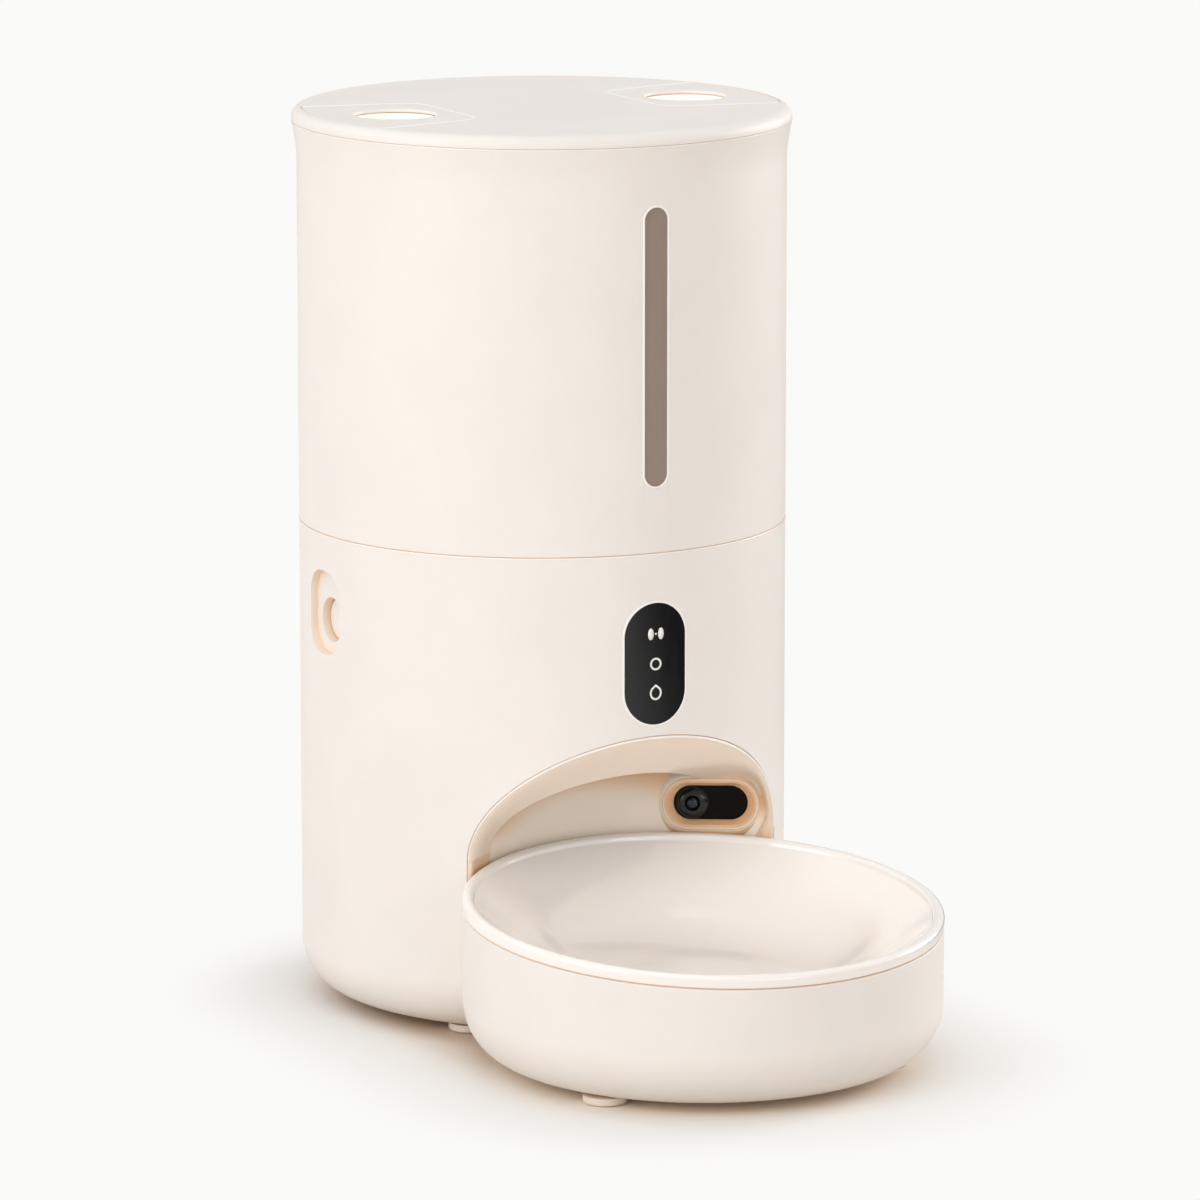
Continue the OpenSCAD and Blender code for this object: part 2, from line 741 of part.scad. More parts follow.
module stirrer() {
    z = rotor_z + rotor_h;
    arm_l = funnel_d / 2 - 10;
    color("#c9a88b") difference() {
        union() {
            translate([0, 0, z]) cylinder(r1 = hub_r, r2 = 7, h = 14);
            for (k = [0 : 2]) rotate(30 + k * 120) translate([0, 0, z + 9])
                rotate([0, 90, 0]) cylinder(r = 2.5, h = arm_l - k * 6, $fn = 32);
        }
        translate([0, 0, z - 1]) cylinder(r = shaft_d / 2 + 0.02, h = 6);
    }
}

module main_board() {
    color("#2c5a3c") translate([0, board_y, board_z]) {
        difference() {
            translate([-board_w / 2, 0, -board_h / 2]) cube([board_w, board_t, board_h]);
            for (sx = [-1, 1]) for (sz = [-1, 1]) translate([sx * post_x, -1, sz * post_z])
                rotate([-90, 0, 0]) cylinder(r = 1.4, h = 4, $fn = 32);
        }
        translate([-16, -1.6, -4]) cube([14, 1.6 + eps, 14]);
        translate([6, -3, 2]) cube([18, 3 + eps, 22]);
        for (k = [-1, 0, 1]) translate([k * 12, -6, -21]) cube([8, 6 + eps, 6]);
        translate([-26, eps, 8]) rotate([90, 0, 0]) cylinder(r = 4, h = 9, $fn = 32);
    }
}

panel_out = tower_r - 0.1;
panel_flange = 2;

module control_panel() {
    color("#26272a") {
        intersection() {
            translate([0, 0, panel_z]) front_prism(pill(panel_w - 0.3, panel_h - 0.3), -tower_r, -inner_r + 8);
            translate([0, 0, panel_z - panel_h]) tube(panel_out, inner_r - 1.8, 2 * panel_h);
        }
        intersection() {
            translate([0, 0, panel_z])
                front_prism(pill(panel_w + 2 * panel_flange, panel_h + 2 * panel_flange), -tower_r, -inner_r + 8);
            translate([0, 0, panel_z - panel_h]) tube(inner_r - 0.1, inner_r - 1.8, 2 * panel_h);
        }
    }
}

module panel_board() {
    y = -inner_r + 6;
    color("#2c5a3c") {
        translate([0, 0, panel_z]) front_prism(pill(panel_w - 2, panel_h - 2), y, y + board_t);
        translate([-5, y + board_t - eps, panel_z - 12]) cube([10, 4, 5]);
    }
}

window_in_w = camera_w - 7;
window_in_h = camera_h - 5;
bezel_depth = 4;
bezel_front = recess_r - pod_proud - 0.2;
camera_board_y = liner_back + 2.2;
barrel_end = camera_board_y - bezel_front - fit;
lens_x = -window_in_w / 2 + window_in_h / 2 + 0.6;

function lying(points) = [for (p = points) [p[1], p[0]]];

module camera_bezel() {
    mouth_w = camera_w - 1.6;
    mouth_h = camera_h - 1.6;
    color("#cf9d74") at_camera() difference() {
        front_prism(lying(pill(camera_h, camera_w)), bezel_front, bezel_front + bezel_depth);
        hull() {
            front_prism(lying(pill(mouth_h, mouth_w)), bezel_front - 0.5, bezel_front);
            front_prism(lying(pill(window_in_h, window_in_w)), bezel_front + 2.4, bezel_front + 2.6);
        }
        front_prism(lying(pill(window_in_h, window_in_w)), bezel_front, bezel_front + bezel_depth + 1);
    }
}

module camera_window() {
    color("#121214") at_camera() difference() {
        front_prism(lying(pill(window_in_h - 0.1, window_in_w - 0.1)), bezel_front + 2.6, bezel_front + bezel_depth);
        translate([lens_x, 0, 0]) rotate([-90, 0, 0]) translate([0, 0, bezel_front])
            cylinder(r = lens_d / 2 - 1, h = 8);
    }
}

module lens_barrel() {
    r = lens_d / 2 - 1.1;
    color("#1b1b1d") at_camera() translate([lens_x, bezel_front, 0]) rotate([-90, 0, 0])
        rotate_extrude() polygon([[1.7, barrel_end], [1.7, 4.6], [2.6, 3.2], [3.2, 3.2], [3.2, 3.7], [4.2, 2.7], [4.5, 2.7],
            [4.5, 3.8], [r, 3], [r, 4.4], [4.8, 4.8], [4.8, barrel_end]]);
}

module camera_lens() {
    color("#2b3038") at_camera() translate([lens_x, bezel_front, 0]) rotate([-90, 0, 0]) intersection() {
        cylinder(r = 1.65, h = barrel_end);
        translate([0, 0, 4 + 3.2]) sphere(r = 3.6);
    }
}

module camera_board() {
    color("#2c5a3c") at_camera() translate([0, camera_board_y, 0]) {
        front_prism(lying(pill(camera_h - 1, camera_w - 1)), 0, board_t);
        translate([-4, board_t - eps, -3]) cube([10, 2, 6]);
    }
}

module speaker() {
    color("#3a3a3c") translate([0, speaker_y, speaker_z]) rotate([90, 0, 0])
        rotate_extrude() polygon([[0, -1], [5, 0.5], [speaker_r - 3, -1.5], [speaker_r - 2, -2.5], [speaker_r, -2.5],
            [speaker_r, 0], [9, 5], [9, 11], [0, 11]]);
}

module power_socket() {
    color("#2a2a2c") translate([0, inner_r - 0.4, socket_z]) difference() {
        union() {
            translate([-7, -11, -4]) cube([14, 10.2, 8]);
            rotate([90, 0, 0]) translate([0, 0, -1.4])
                linear_extrude(4) rotate(90) polygon(pill(socket_h - 0.3, socket_w - 0.3, 10));
        }
        rotate([90, 0, 0]) translate([0, 0, -5]) linear_extrude(12)
            rotate(90) polygon(pill(socket_h - 0.9, socket_w - 0.9, 10));
    }
}

module battery_box() {
    h = 2 * cell_r + 5;
    z = plate_z + 0.2;
    color("#3a3a3c") translate([0, battery_y, 0]) difference() {
        translate([-battery_w / 2 + 0.3, -battery_d / 2 + 0.3, z]) cube([battery_w - 0.6, battery_d - 0.6, h]);
        translate([-battery_w / 2 + 2, -battery_d / 2 + 2, z - 1]) cube([battery_w - 4, battery_d - 4, h - 1]);
    }
}

module backup_cells() {
    z = plate_z + door_t + cell_r + 0.4;
    color("#7d8a5c") for (k = [0 : cells - 1])
        translate([-cell_l / 2, battery_y - battery_d / 2 + 2 + (k + 0.5) * cell_pitch, z]) rotate([0, 90, 0]) {
            cylinder(r = cell_r, h = cell_l - 1.4);
            cylinder(r = 2.6, h = cell_l);
        }
}

module battery_door() {
    z = plate_z + 0.2;
    color("#d8d2ca") difference() {
        translate([-battery_w / 2 + 2.2, battery_y - battery_d / 2 + 2.2, z])
            cube([battery_w - 4.4, battery_d - 4.4, door_t]);
        for (k = [-2 : 2]) translate([-10, battery_y - battery_d / 2 + 10 + k * 2.4, z - 0.2]) cube([20, 1.2, 0.8]);
    }
}

module release_button(side) {
    color("#f3ebe2") mirror([side < 0 ? 1 : 0, 0, 0]) {
        translate([button_end, 0, button_z]) rotate([0, 90, 0]) rotate_extrude()
            polygon(concat([[0, -arm_t], [boss_r, -arm_t], [boss_r, 0], [button_d / 2, 0]],
                arc(button_d / 2 - button_round, button_face - button_end - button_round, button_round, 0, 90, 6),
                [[0, button_face - button_end - 0.5]]));
        translate([arm_x, -arm_w / 2, button_z]) cube([arm_t, arm_w, base_top - 3.5 - button_z]);
        translate([arm_x, -arm_w / 2, base_top - 6]) cube([spigot_r - spigot_t - 0.9 - arm_x, arm_w, 2.5]);
    }
}

module button_spring(side) {
    color("#b9bcc0") translate([side * spring_seat, 0, button_z]) rotate([0, side * 90, 0])
        coil(arm_x - spring_seat, 4.4, 0.55, 3);
}

function flare_at(t) = flare * (1 - cos(90 * t));

module hopper_shell() {
    steps = 8;
    start = hopper_top - flare_h;
    rise = hopper_end - start;
    notch_w = tongue_w + 3;
    color("#f3ebe2") difference() {
        rotate_extrude() polygon(concat(
            [[tower_r, hopper_z], [tower_r, start]],
            [for (i = [1 : steps]) [tower_r + flare_at(i / steps), start + rise * i / steps]],
            [for (i = [0 : steps - 1]) let (t = 1 - i / steps) [inner_r + flare_at(t), start + rise * t]],
            [[inner_r, start], [inner_r, hopper_z + 3], [spigot_r - spigot_t, hopper_z + 3],
                [spigot_r - spigot_t, hopper_z - spigot_h], [spigot_r, hopper_z - spigot_h], [spigot_r, hopper_z]]));
        translate([0, 0, window_z + window_h / 2]) front_prism(pill(window_w, window_h), -tower_r - 1, -inner_r + 4);
        for (side = [left, right]) translate([side * inner_r, 0, tongue_z + tongue_h / 2])
            cube([2.4, notch_w, tongue_h + 3], center = true);
        for (side = [left, right]) translate([side * (spigot_r - spigot_t / 2), 0, base_top - 4.5])
            cube([spigot_t + 2, arm_w + 3, 5], center = true);
    }
}

module window_pane() {
    flange = 2;
    z = window_z + window_h / 2;
    color("#6f6259") {
        intersection() {
            translate([0, 0, z]) front_prism(pill(window_w - 0.2, window_h - 0.2), -tower_r, -inner_r + 4);
            translate([0, 0, window_z - 5]) tube(tower_r - 0.5, inner_r - 1.5, window_h + 10);
        }
        intersection() {
            translate([0, 0, z]) front_prism(pill(window_w + 2 * flange, window_h + 2 * flange), -tower_r, -inner_r + 4);
            translate([0, 0, window_z - 5]) tube(inner_r - 0.1, inner_r - 1.5, window_h + 10);
        }
    }
}

module hopper_funnel() {
    fr = funnel_d / 2;
    z1 = funnel_top;
    z0 = funnel_bottom;
    color("#e4ddd4") rotate_extrude() polygon([[inner_r - 0.2, z1], [fr, z0 + 2], [fr, z0], [fr + funnel_t, z0],
        [fr + funnel_t, z0 + 1.2], [inner_r - 0.2, z1 - 2.8]]);
}

// Outline of a latch cover on the right side of the lid, grown by a little
module cover_shape(grow) {
    r = cover_corner + grow;
    n = [-sin(cover_slope), cos(cover_slope)];
    cx = cover_in_x + cover_corner;
    cy = (n[0] * cover_in_x + n[1] * cover_half - cover_corner - n[0] * cx) / n[1];
    turn = [cx, cy] + r * n;
    reach = lid_r - turn[0];
    far = [lid_r, turn[1] + reach * tan(cover_slope)];
    intersection() {
        circle(r = cover_rim + grow);
        polygon(concat([far], arc(cx, cy, r, 90 + cover_slope, 180), arc(cx, -cy, r, 180, 270 - cover_slope),
            [[far[0], -far[1]]]));
    }
}

// Shape of a finger hole with room for its cup to slide inwards
module finger_slot(r, room) {
    circle(r = r);
    translate([-room, -r]) square([room, 2 * r]);
    translate([-room, 0]) circle(r = r);
}

module mirrored(side) { mirror([side < 0 ? 1 : 0, 0, 0]) children(); }

lid_screw_at = [[0, 66], [0, -66], [26, 60], [-26, -60]];
seat_post_x = 29;
seal_z = lid_z - 8;

module lid_top() {
    color("#efe7de") difference() {
        union() {
            rotate_extrude() polygon(concat([[0, lid_z], [lid_r, lid_z]],
                arc(lid_r - lid_round, lid_end - lid_round, lid_round, 0, 90, 8), [[0, lid_end]]));
            translate([0, 0, tray_top]) tube(skirt_r, skirt_r - skirt_t, lid_z - tray_top + 1);
            translate([0, 0, seal_z - 2]) tube(skirt_r + 1.5, skirt_r - 1, 2);
            for (p = lid_screw_at) translate([p[0], p[1], tray_top]) cylinder(r = 3.5, h = lid_z - tray_top + 1);
        }
        for (side = [left, right]) mirrored(side) {
            translate([0, 0, lid_end - cover_t]) linear_extrude(cover_t + 1) cover_shape(0.25);
            translate([finger_x, 0, lid_z - 1]) linear_extrude(lid_h) finger_slot(finger_d / 2 + 0.3, latch_travel);
            translate([skirt_r - 5, -tongue_w / 2 - 0.5, tray_top - 1]) cube([10, tongue_w + 1, tongue_h + 2.6]);
        }
        for (p = lid_screw_at) translate([p[0], p[1], tray_top - 1]) cylinder(r = 1.25, h = 13, $fn = 32);
    }
}

module latch_cover(side) {
    color("#f1eae2") mirrored(side) translate([0, 0, lid_end - cover_t]) linear_extrude(cover_t) difference() {
        cover_shape(0);
        translate([finger_x, 0]) circle(r = finger_d / 2);
    }
}

module lid_tray() {
    color("#e4ddd4") difference() {
        union() {
            translate([0, 0, tray_top - lid_tray_t]) cylinder(r = skirt_r, h = lid_tray_t);
            for (side = [left, right]) mirrored(side) {
                translate([seat_post_x - 2, -7, tray_top - eps]) cube([2, 14, 12]);
                for (sy = [-1, 1]) translate([finger_x - cup_r - latch_travel, sy * (cup_r + 1.6) - 1, tray_top - eps])
                    cube([2 * cup_r + latch_travel - 4, 2, 8]);
            }
        }
        for (p = lid_screw_at) translate([p[0], p[1], tray_top - 5]) cylinder(r = 1.6, h = 10, $fn = 32);
    }
}

module lid_screws() {
    color("#9a9ca0") for (p = lid_screw_at) translate([p[0], p[1], tray_top - lid_tray_t]) screw(1.2, 12, 2.8, 1.6);
}

module lid_seal() {
    lip_r = spigot_r - 0.1;
    color("#cfc8be") translate([0, 0, seal_z]) rotate_extrude() polygon([[skirt_r + 0.05, 0], [skirt_r + 1.4, 0],
        [lip_r, 3.2], [lip_r, 4.4], [skirt_r + 1.4, 5], [skirt_r + 0.05, 5]]);
}

module lid_latch(side) {
    top = lid_z - seam;
    color("#f3ebe2") mirrored(side) difference() {
        union() {
            translate([finger_x, 0, cup_floor_z]) cylinder(r = cup_r, h = top - cup_floor_z);
            translate([finger_x, -tongue_w / 2, tongue_z]) cube([inner_r - 0.5 - finger_x, tongue_w, tongue_h]);
        }
        translate([finger_x, 0, cup_floor_z + 1.5]) cylinder(r = cup_r - cup_wall, h = 40);
        translate([0, 0, tongue_z - 1]) difference() {
            cylinder(r = 2 * tower_r, h = tongue_h + 2);
            translate([0, 0, -1]) cylinder(r = inner_r - 0.8, h = tongue_h + 4);
        }
    }
}

module latch_spring(side) {
    start = seat_post_x;
    end = finger_x - cup_r;
    color("#b9bcc0") mirrored(side) translate([start, 0, tray_top + 7.5]) rotate([0, 90, 0])
        coil(end - start, 4, 0.5, 4);
}

desiccant_r = 24;
desiccant_h = 11;

module desiccant_box() {
    z = tray_top - lid_tray_t;
    color("#e4ddd4") translate([0, 0, z - desiccant_h]) tube(desiccant_r, desiccant_r - 2, desiccant_h);
}

module desiccant_cover() {
    z = tray_top - lid_tray_t - desiccant_h;
    slots = 12;
    color("#efe7de") difference() {
        union() {
            translate([0, 0, z - 2.4]) cylinder(r = desiccant_r, h = 2.1);
            translate([0, 0, z - 0.4]) tube(desiccant_r - 2.3, desiccant_r - 4, 3.4);
            translate([-desiccant_r + 6, -1.2, z - 6]) cube([2 * desiccant_r - 12, 2.4, 4]);
        }
        for (k = [0 : slots - 1]) rotate(15 + k * 360 / slots) translate([9, -0.8, z - 5]) cube([9, 1.6, 10]);
    }
}

module tilted() { translate([0, 0, rim_z]) rotate([bowl_tilt, 0, 0]) children(); }

module bowl_tray() {
    top = rim_h + seam;
    inner = tray_r - tray_t;
    zc = holder_bottom + tray_round;
    color("#f1e8de") difference() {
        rotate_extrude() polygon(concat([[0, holder_bottom]],
            arc(tray_r - tray_round, zc, tray_round, -90, 0), [[tray_r, 2 * rim_z], [0, 2 * rim_z]]));
        rotate_extrude() polygon(concat([[0, holder_bottom + tray_t]],
            arc(tray_r - tray_round, zc, tray_round - tray_t, -90, 0), [[inner, 3 * rim_z], [0, 3 * rim_z]]));
        tilted() translate([0, 0, rim_z - top]) cube([3 * tray_r, 3 * tray_r, 2 * rim_z], center = true);
    }
}

module tray_feet() {
    color("#efe6da") for (a = [90 : 120 : 330]) rotate(a) translate([tray_r - tray_round, 0, 0]) foot();
}

module bowl() {
    inner_edge = bowl_r - rim_side;
    wall_r = inner_edge - 0.4;
    drop = bowl_depth - 2.6;
    blend = 40;
    wall_run = (drop - blend * (1 - cos(dish_slope))) / tan(dish_slope);
    foot_r = wall_r - wall_run;
    floor_r = foot_r - blend * sin(dish_slope);
    t = bowl_t;
    color("#f4ece4") tilted() rotate_extrude() polygon(concat(
        [[0, -bowl_depth]],
        arc(floor_r, -bowl_depth + blend, blend, -90, -90 + dish_slope, 10),
        [[wall_r, -2.6]],
        arc(inner_edge + 1.8, -1.8, 1.8, 180, 90, 5),
        arc(bowl_r - 1.8, -1.8, 1.8, 90, 0, 5),
        [[bowl_r, -rim_h + 0.4], [bowl_r - 0.4, -rim_h], [bowl_r - tray_t - 1.2, -rim_h]],
        arc(floor_r, -bowl_depth + blend, blend + t, -90 + dish_slope, -90, 10),
        [[0, -bowl_depth - t]]));
}

at_tower() base_shell();
at_tower() base_plate();
at_tower() tower_feet();
at_tower() base_screws();
at_tower() outlet_hood();
at_tower() recess_liner();
at_tower() food_chute();
at_tower() food_sensors();
at_tower() rotor_housing();
at_tower() deck_screws();
at_tower() gear_plate();
at_tower() gear_screws();
at_tower() shaft_bushes();
at_tower() idler_pin();
at_tower() drive_motor();
at_tower() main_board();
at_tower() panel_board();
at_tower() control_panel();
at_tower() camera_bezel();
at_tower() camera_window();
at_tower() lens_barrel();
at_tower() camera_lens();
at_tower() camera_board();
at_tower() speaker();
at_tower() power_socket();
at_tower() battery_box();
at_tower() backup_cells();
at_tower() battery_door();
at_tower() rotor();
at_tower() vane_tips();
at_tower() stirrer();
at_tower() rotor_shaft();
at_tower() output_gear();
at_tower() idler_gear();
at_tower() motor_pinion();
at_tower() release_button(left);  // release_button_left
at_tower() release_button(right);  // release_button_right
at_tower() button_spring(left);  // button_spring_left
at_tower() button_spring(right);  // button_spring_right
at_tower() hopper_shell();
at_tower() window_pane();
at_tower() hopper_funnel();
at_tower() lid_top();
at_tower() lid_tray();
at_tower() lid_seal();
at_tower() latch_cover(left);  // latch_cover_left
at_tower() latch_cover(right);  // latch_cover_right
at_tower() lid_screws();
at_tower() lid_latch(left);  // lid_latch_left
at_tower() lid_latch(right);  // lid_latch_right
at_tower() latch_spring(left);  // latch_spring_left
at_tower() latch_spring(right);  // latch_spring_right
at_tower() desiccant_box();
at_tower() desiccant_cover();
at_bowl() bowl_tray();
at_bowl() tray_feet();
at_bowl() bowl();
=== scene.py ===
"""Automatic pet feeder with camera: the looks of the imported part, in metres."""
import json
import math

import bmesh
import bpy
from mathutils import Matrix, Vector

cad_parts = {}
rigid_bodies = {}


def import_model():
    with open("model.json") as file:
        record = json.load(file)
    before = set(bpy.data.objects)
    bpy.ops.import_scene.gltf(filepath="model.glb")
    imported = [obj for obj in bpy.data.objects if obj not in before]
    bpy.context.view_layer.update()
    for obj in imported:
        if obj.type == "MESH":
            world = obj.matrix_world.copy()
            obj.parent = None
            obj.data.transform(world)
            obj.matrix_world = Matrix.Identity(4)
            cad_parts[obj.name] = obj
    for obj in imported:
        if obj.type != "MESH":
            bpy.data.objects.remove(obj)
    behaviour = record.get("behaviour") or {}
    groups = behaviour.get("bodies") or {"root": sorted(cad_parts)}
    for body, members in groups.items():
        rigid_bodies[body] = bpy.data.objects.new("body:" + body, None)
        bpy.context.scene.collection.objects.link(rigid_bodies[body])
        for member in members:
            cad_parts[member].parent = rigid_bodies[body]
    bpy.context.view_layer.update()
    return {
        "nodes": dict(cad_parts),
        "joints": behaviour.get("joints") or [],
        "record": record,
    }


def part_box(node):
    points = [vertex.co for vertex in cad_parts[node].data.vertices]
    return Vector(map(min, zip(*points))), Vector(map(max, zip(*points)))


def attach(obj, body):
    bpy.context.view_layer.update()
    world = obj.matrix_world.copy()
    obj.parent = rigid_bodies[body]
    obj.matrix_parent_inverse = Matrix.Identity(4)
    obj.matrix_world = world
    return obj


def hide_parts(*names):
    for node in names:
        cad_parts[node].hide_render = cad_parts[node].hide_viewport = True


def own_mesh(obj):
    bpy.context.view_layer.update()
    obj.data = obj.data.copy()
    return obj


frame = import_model()
nodes = frame["nodes"]
slot_of = {row["node"]: row["material_slot"] for row in frame["record"]["subparts"]}

MM = 0.001

# Sizes of the part that the finer pieces follow
TOWER_R = 95 * MM
LID_R = 97 * MM
TOWER_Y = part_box("lid_top")[1].y - LID_R
BOWL_GAP = 133.6 * MM
RECESS_R = 93.9 * MM
ARCH_HALF = 67 * MM
ARCH_RISE = 48 * MM
ARCH_Z = 71.6 * MM
LIP_HALF = 52 * MM
LIP_RISE = 29.5 * MM
PANEL_W = 26.4 * MM
PANEL_H = 47.6 * MM
PANEL_Z = 147.6 * MM
PANEL_FACE_R = TOWER_R - 0.1 * MM
WINDOW_W = 10 * MM
WINDOW_H = 107 * MM
WINDOW_Z = 269.5 * MM
CAMERA_W = 36 * MM
CAMERA_H = 18.6 * MM
CAMERA_Z = 80.2 * MM
CAMERA_TURN = math.radians(30)
BEZEL_FRONT = RECESS_R - 2.2 * MM
LENS_X = -7.1 * MM
LID_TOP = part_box("lid_top")[1].z
LID_SEAM = LID_TOP - 5 * MM
BASE_SEAM = 190.5 * MM
HOPPER_TOP_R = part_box("hopper_shell")[1].x
BOWL_R = 91.5 * MM
BOWL_Z = 62.6 * MM
BOWL_TILT = math.radians(4.76)
BOWL_SEAM = -4.85 * MM


# Shader building blocks

# Where noise mostly lies between 0 and 1
NOISE_LOW = 0.3
NOISE_HIGH = 0.7
# Shares of open sky at a closed-in corner and at a free face, between which the painted corner shade fades
CORNER_SKY = 0.3
FREE_SKY = 0.95
SKY_SAMPLES = 4
# How far the gloss of moulded plastic drifts, as a share
GLOSS_DRIFT = 0.08


def linear(red, green, blue):
    """A colour written as it shows on a screen, 0 to 255."""
    def one(c):
        c /= 255
        return c / 12.92 if c <= 0.04045 else ((c + 0.055) / 1.055) ** 2.4
    return (one(red), one(green), one(blue))


def new_material(name):
    mat = bpy.data.materials.new(name)
    mat.use_nodes = True
    tree = mat.node_tree
    return mat, tree, tree.nodes["Principled BSDF"]


def add(tree, kind, **values):
    node = tree.nodes.new(kind)
    for key, value in values.items():
        setattr(node, key, value)
    return node


def noise(tree, scale, detail=2.0, roughness=0.5, stretch=None):
    """Noise over the object's own space, drawn out along an axis where stretch says so."""
    coords = add(tree, "ShaderNodeTexCoord")
    source = coords.outputs["Object"]
    if stretch:
        mapping = add(tree, "ShaderNodeMapping")
        mapping.inputs["Scale"].default_value = stretch
        tree.links.new(source, mapping.inputs["Vector"])
        source = mapping.outputs["Vector"]
    tex = add(tree, "ShaderNodeTexNoise")
    tex.inputs["Scale"].default_value = scale
    tex.inputs["Detail"].default_value = detail
    tex.inputs["Roughness"].default_value = roughness
    tree.links.new(source, tex.inputs["Vector"])
    return tex.outputs["Fac"]


def shaded(colour, share):
    return tuple(c * share for c in colour)


def mottled(tree, fac, colour, share, low=NOISE_LOW, high=NOISE_HIGH):
    """The colour, going down to a share of itself where the noise is low."""
    node = add(tree, "ShaderNodeValToRGB")
    dark, full = node.color_ramp.elements
    dark.position = low
    dark.color = (*shaded(colour, share), 1)
    full.position = high
    full.color = (*colour, 1)
    tree.links.new(fac, node.inputs["Fac"])
    return node.outputs["Color"]


def map_range(tree, value, start, stop, low=0.0, high=1.0, kind="LINEAR"):
    """Maps start to stop onto low to high, and holds both ends."""
    node = add(tree, "ShaderNodeMapRange", interpolation_type=kind)
    node.inputs["From Min"].default_value = start
    node.inputs["From Max"].default_value = stop
    node.inputs["To Min"].default_value = low
    node.inputs["To Max"].default_value = high
    tree.links.new(value, node.inputs["Value"])
    return node.outputs["Result"]


def spread(tree, fac, low, high):
    """Maps the range where noise mostly lies onto low to high."""
    return map_range(tree, fac, NOISE_LOW, NOISE_HIGH, low, high)


def smooth_step(tree, value, start, stop, low, high):
    return map_range(tree, value, start, stop, low, high, "SMOOTHSTEP")


def two_way(tree, operation, first, second):
    """Two values joined by a sum, a product or the like."""
    node = add(tree, "ShaderNodeMath", operation=operation)
    tree.links.new(first, node.inputs[0])
    tree.links.new(second, node.inputs[1])
    return node.outputs[0]


def bump(tree, shader, height, depth):
    node = add(tree, "ShaderNodeBump")
    node.inputs["Distance"].default_value = depth
    node.inputs["Strength"].default_value = 1
    tree.links.new(height, node.inputs["Height"])
    tree.links.new(node.outputs["Normal"], shader.inputs["Normal"])


def open_sky(tree, reach):
    """How much of the sky a place sees past what stands within reach."""
    node = add(tree, "ShaderNodeAmbientOcclusion", samples=SKY_SAMPLES)
    node.inputs["Distance"].default_value = reach
    return node.outputs["AO"]


def paint_corner_shade(tree, colour, painted_shade_colour, reach):
    """Painted shade: the colour, going over to a deeper one in corners and narrow gaps, where less sky is
    open.
    """
    share = map_range(tree, open_sky(tree, reach), CORNER_SKY, FREE_SKY)
    mix = add(tree, "ShaderNodeMix", data_type="RGBA")
    mix.inputs["A"].default_value = (*linear(*painted_shade_colour), 1)
    tree.links.new(share, mix.inputs["Factor"])
    tree.links.new(colour, mix.inputs["B"])
    return mix.outputs["Result"]


def add_painted_glow(mat, colour, strength):
    """Adds a painted glow: emission on a piece that is no lamp, standing in for light that comes through from
    behind, and on the cover lines for the highlight of their edges.
    """
    shader = mat.node_tree.nodes["Principled BSDF"]
    shader.inputs["Emission Color"].default_value = (*colour, 1)
    shader.inputs["Emission Strength"].default_value = strength


def plastic(name, colour, rough, grain=0.0, vary=0.03, coat=0.0, soft=0.0, painted_shade_colour=None, reach=0.0, shine=0.5):
    """Moulded plastic: slight colour drift, uneven gloss and the fine grain of a textured mould.

    The grain's depth and the reach of the painted shade in corners and gaps are in millimetres.
    """
    mat, tree, shader = new_material(name)
    base = linear(*colour)
    cloud = noise(tree, scale=30, detail=3)
    tone = mottled(tree, cloud, base, 1 - vary)
    # Painted shade: a deeper colour where corners and gaps see less of the sky
    if painted_shade_colour:
        tone = paint_corner_shade(tree, tone, painted_shade_colour, reach * MM)
    tree.links.new(tone, shader.inputs["Base Color"])
    fine = noise(tree, scale=1500, detail=2, roughness=0.6)
    shader.inputs["Specular IOR Level"].default_value = shine
    gloss = spread(tree, fine, rough * (1 - GLOSS_DRIFT), rough * (1 + GLOSS_DRIFT))
    tree.links.new(gloss, shader.inputs["Roughness"])
    if grain:
        bump(tree, shader, fine, grain * MM)
    if coat:
        shader.inputs["Coat Weight"].default_value = coat
        shader.inputs["Coat Roughness"].default_value = 0.08
    if soft:
        shader.inputs["Subsurface Weight"].default_value = soft
        shader.inputs["Subsurface Radius"].default_value = (1.0, 0.55, 0.35)
        shader.inputs["Subsurface Scale"].default_value = 3 * MM
    return mat


# The painted shade on the recess wall sets in over these shares of the way out to the lip and up from the
# hood's feet. Sideways the way counts for less, so the painted shade fades towards the feet
LIP_SHADE = (0.42, 0.85)
FEET_SHADE = (0.0, 0.35)
LIP_SIDEWAYS = 0.76


def wall_with_painted_lip_shade(name, colour, painted_shade_colour):
    """Plastic of the recess wall, with painted shade that deepens its colour up towards the hood's lip."""
    mat = plastic(name, colour, rough=0.42, grain=0.01, soft=0.08)
    tree = mat.node_tree
    surface = tree.nodes["Principled BSDF"].inputs["Base Color"]
    plain = surface.links[0].from_socket
    coords = add(tree, "ShaderNodeTexCoord")
    to_lip = add(tree, "ShaderNodeMapping")
    to_lip.inputs["Location"].default_value = (0, 0, -ARCH_Z / LIP_RISE)
    to_lip.inputs["Scale"].default_value = (LIP_SIDEWAYS / LIP_HALF, 0, 1 / LIP_RISE)
    tree.links.new(coords.outputs["Object"], to_lip.inputs["Vector"])
    near_lip = add(tree, "ShaderNodeVectorMath", operation="LENGTH")
    tree.links.new(to_lip.outputs["Vector"], near_lip.inputs[0])
    height = add(tree, "ShaderNodeSeparateXYZ")
    tree.links.new(to_lip.outputs["Vector"], height.inputs[0])
    above_feet = smooth_step(tree, height.outputs["Z"], *FEET_SHADE, 0, 1)
    at_lip = smooth_step(tree, near_lip.outputs["Value"], *LIP_SHADE, 0, 1)
    share = two_way(tree, "MULTIPLY", at_lip, above_feet)
    mix = add(tree, "ShaderNodeMix", data_type="RGBA")
    mix.inputs["B"].default_value = (*linear(*painted_shade_colour), 1)
    tree.links.new(plain, mix.inputs["A"])
    tree.links.new(share, mix.inputs["Factor"])
    tree.links.new(mix.outputs["Result"], surface)
    return mat


